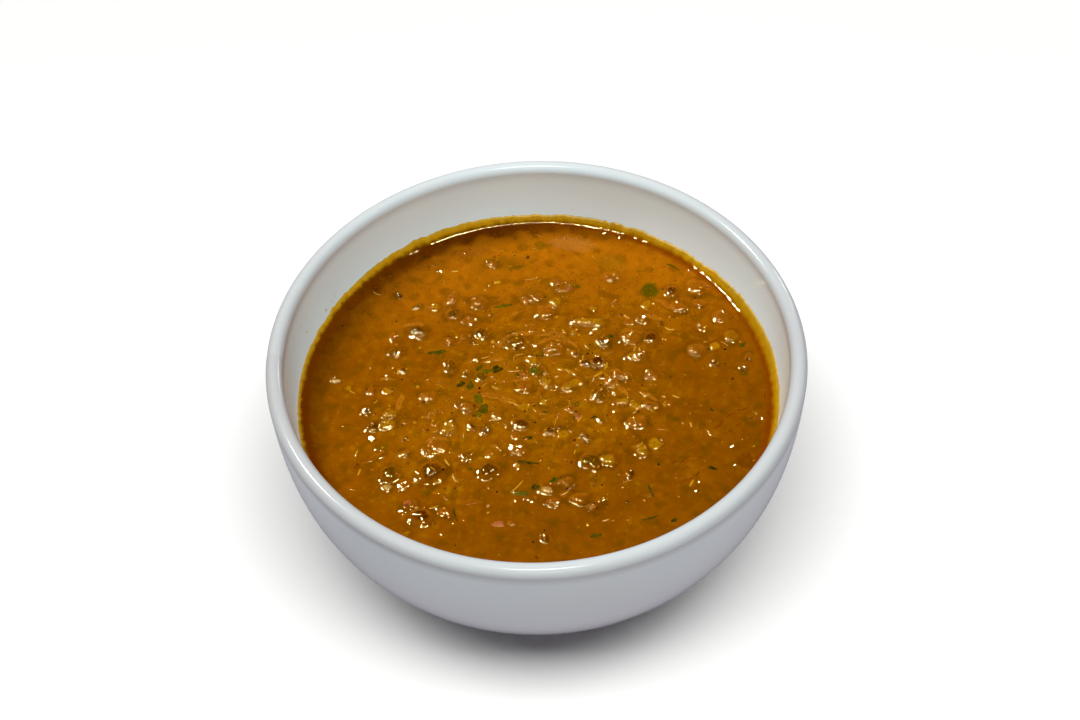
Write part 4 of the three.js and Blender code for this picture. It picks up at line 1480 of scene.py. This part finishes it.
def floor_finish():
    table = Finish("table_top")
    seen = table.nodes.new("ShaderNodeLightPath").outputs["Is Camera Ray"]
    strength = table.spread(seen, FLOOR_AS_MIRROR, FLOOR_AS_SEEN)
    strength = table.sum(strength, table.mottle(300, 0.98, 1.0), "MULTIPLY")
    cool = table.mix(seen, (1.0, 0.94, 1.05), (1, 1, 0.98))
    paper = table.add("ShaderNodeBsdfDiffuse", Color=table.mix(1.0, cool, strength, "MULTIPLY"))
    table.feed(table.nodes["Material Output"].inputs["Surface"], paper.outputs["BSDF"])
    table.nodes.remove(table.shader)
    return table.material


corner = FLOOR_HALF / MM
corners = [(-corner, -corner, 0), (corner, -corner, 0), (corner, corner, 0), (-corner, corner, 0)]
floor = shape("table_top", corners, [(0, 1, 2, 3)], floor_finish())


def soft_light(name, azimuth, elevation, away, wide, tall, watts, colour, lit, fills=True, mirrored=False):
    """A rectangular light that faces the bowl. Azimuth 0 is to the right and 90 behind, in degrees.

    It lights only the things in one collection. A light that fills is soft all-round light, and one that
    is mirrored shows in wet and glazed faces.
    """
    data = bpy.data.lights.new(name, "AREA")
    data.shape = "RECTANGLE"
    data.size = wide
    data.size_y = tall
    data.energy = watts
    data.color = colour
    light = bpy.data.objects.new(name, data)
    light.location = light_place(azimuth, elevation, away)
    inward = Vector((0, 0, DAL_LEVEL * MM)) - light.location
    light.rotation_euler = inward.to_track_quat("-Z", "Y").to_euler()
    light.visible_diffuse = fills
    light.visible_glossy = mirrored
    light.light_linking.receiver_collection = lit
    bpy.context.scene.collection.objects.link(light)


def lit_together(name, things):
    """A collection of things that share their lights."""
    group = bpy.data.collections.new(name)
    for thing in things:
        group.objects.link(thing)
    return group


PLAIN = (1, 1, 1)
LAMPLIGHT = (1, 0.965, 0.95)
DAYLIGHT = (0.965, 0.985, 0.94)
SKYLIGHT = (0.86, 1.04, 1.09)
SKY_ON_LEFT = (0.82, 1.04, 1.14)
SKY_ON_RIGHT = (0.86, 1.03, 1.12)
HAZE = (0.95, 0.98, 1)

# The wet dal mirrors the window and the lamp alone, as if the china round it were dulled.
bowl.visible_glossy = False

china = lit_together("china", [bowl, splashes])
soft_light("china_overhead", *LAMP_AT, 0.26, 0.10, 3.3, LAMPLIGHT, china, mirrored=True)
soft_light("china_window", *WINDOW_AT, 0.14, 0.14, 4.6, DAYLIGHT, china, mirrored=True)

# The china's other lights, which don't show in it: where they stand, their watts and their colour.
SOFT_BOX = 0.3
CHINA_LIGHTS = (
    ("front", 270, 50, 1.3, 3.3, SKYLIGHT),
    ("right_front", 315, 42, 1.3, 2.5, DAYLIGHT),
    ("front_left", 230, 40, 1.3, 1.4, DAYLIGHT),
    ("left", 195, 60, 1.3, 4.0, SKY_ON_LEFT),
    ("right", 0, 55, 1.2, 3.4, SKY_ON_RIGHT),
    ("back_left", 135, 30, 1.3, 2.4, HAZE),
    ("back", 90, 35, 1.3, 1.5, HAZE),
)
for side, *light_at, watts, colour in CHINA_LIGHTS:
    soft_light("china_" + side, *light_at, SOFT_BOX, SOFT_BOX, watts, colour, china)

soft_light("china_back_right", 52, 20, 1.2, 0.12, 0.4, 1.0, HAZE, china, mirrored=True)

food = lit_together("food", [whole, folds, gleams, dal, mash, skins, herbs, specks, bits, oil])
soft_light("dal_key", 138, 54, 1.2, 0.42, 0.42, 10.1, PLAIN, food)
soft_light("dal_overhead", 270, 85, 1.3, 0.4, 0.4, 3.8, PLAIN, food)
soft_light("dal_front", 295, 30, 1.3, 0.4, 0.4, 3.4, PLAIN, food)
soft_light("dal_window", *WINDOW_AT, 0.12, 0.12, 32, PLAIN, food, fills=False, mirrored=True)
soft_light("dal_lamp", *LAMP_AT, 0.85, 0.12, 100, PLAIN, food, fills=False, mirrored=True)
soft_light("dal_back_right", 52, 20, 1.2, 0.3, 0.4, 1.0, HAZE, food)

# The table has a lamp of its own, high and a little in front. So the bowl's shadow stays soft and close.
table = lit_together("table", [floor])
soft_light("table_lamp", 268, 79, 2.4, 2.4, 1.1, 77, PLAIN, table)

world = bpy.data.worlds.new("studio_walls")
bpy.context.scene.world = world
world.use_nodes = True
backdrop = world.node_tree.nodes["Background"]
light_path = world.node_tree.nodes.new("ShaderNodeLightPath")
wall_brightness = world.node_tree.nodes.new("ShaderNodeMapRange")
WALLS_AS_LIGHT = 0.02
WALLS_AS_SEEN = 1.0
wall_brightness.inputs["To Min"].default_value = WALLS_AS_LIGHT
wall_brightness.inputs["To Max"].default_value = WALLS_AS_SEEN
world.node_tree.links.new(light_path.outputs["Is Camera Ray"], wall_brightness.inputs["Value"])
world.node_tree.links.new(wall_brightness.outputs["Result"], backdrop.inputs["Strength"])
backdrop.inputs["Color"].default_value = (1, 1, 1, 1)

bpy.context.scene.view_settings.view_transform = "Standard"
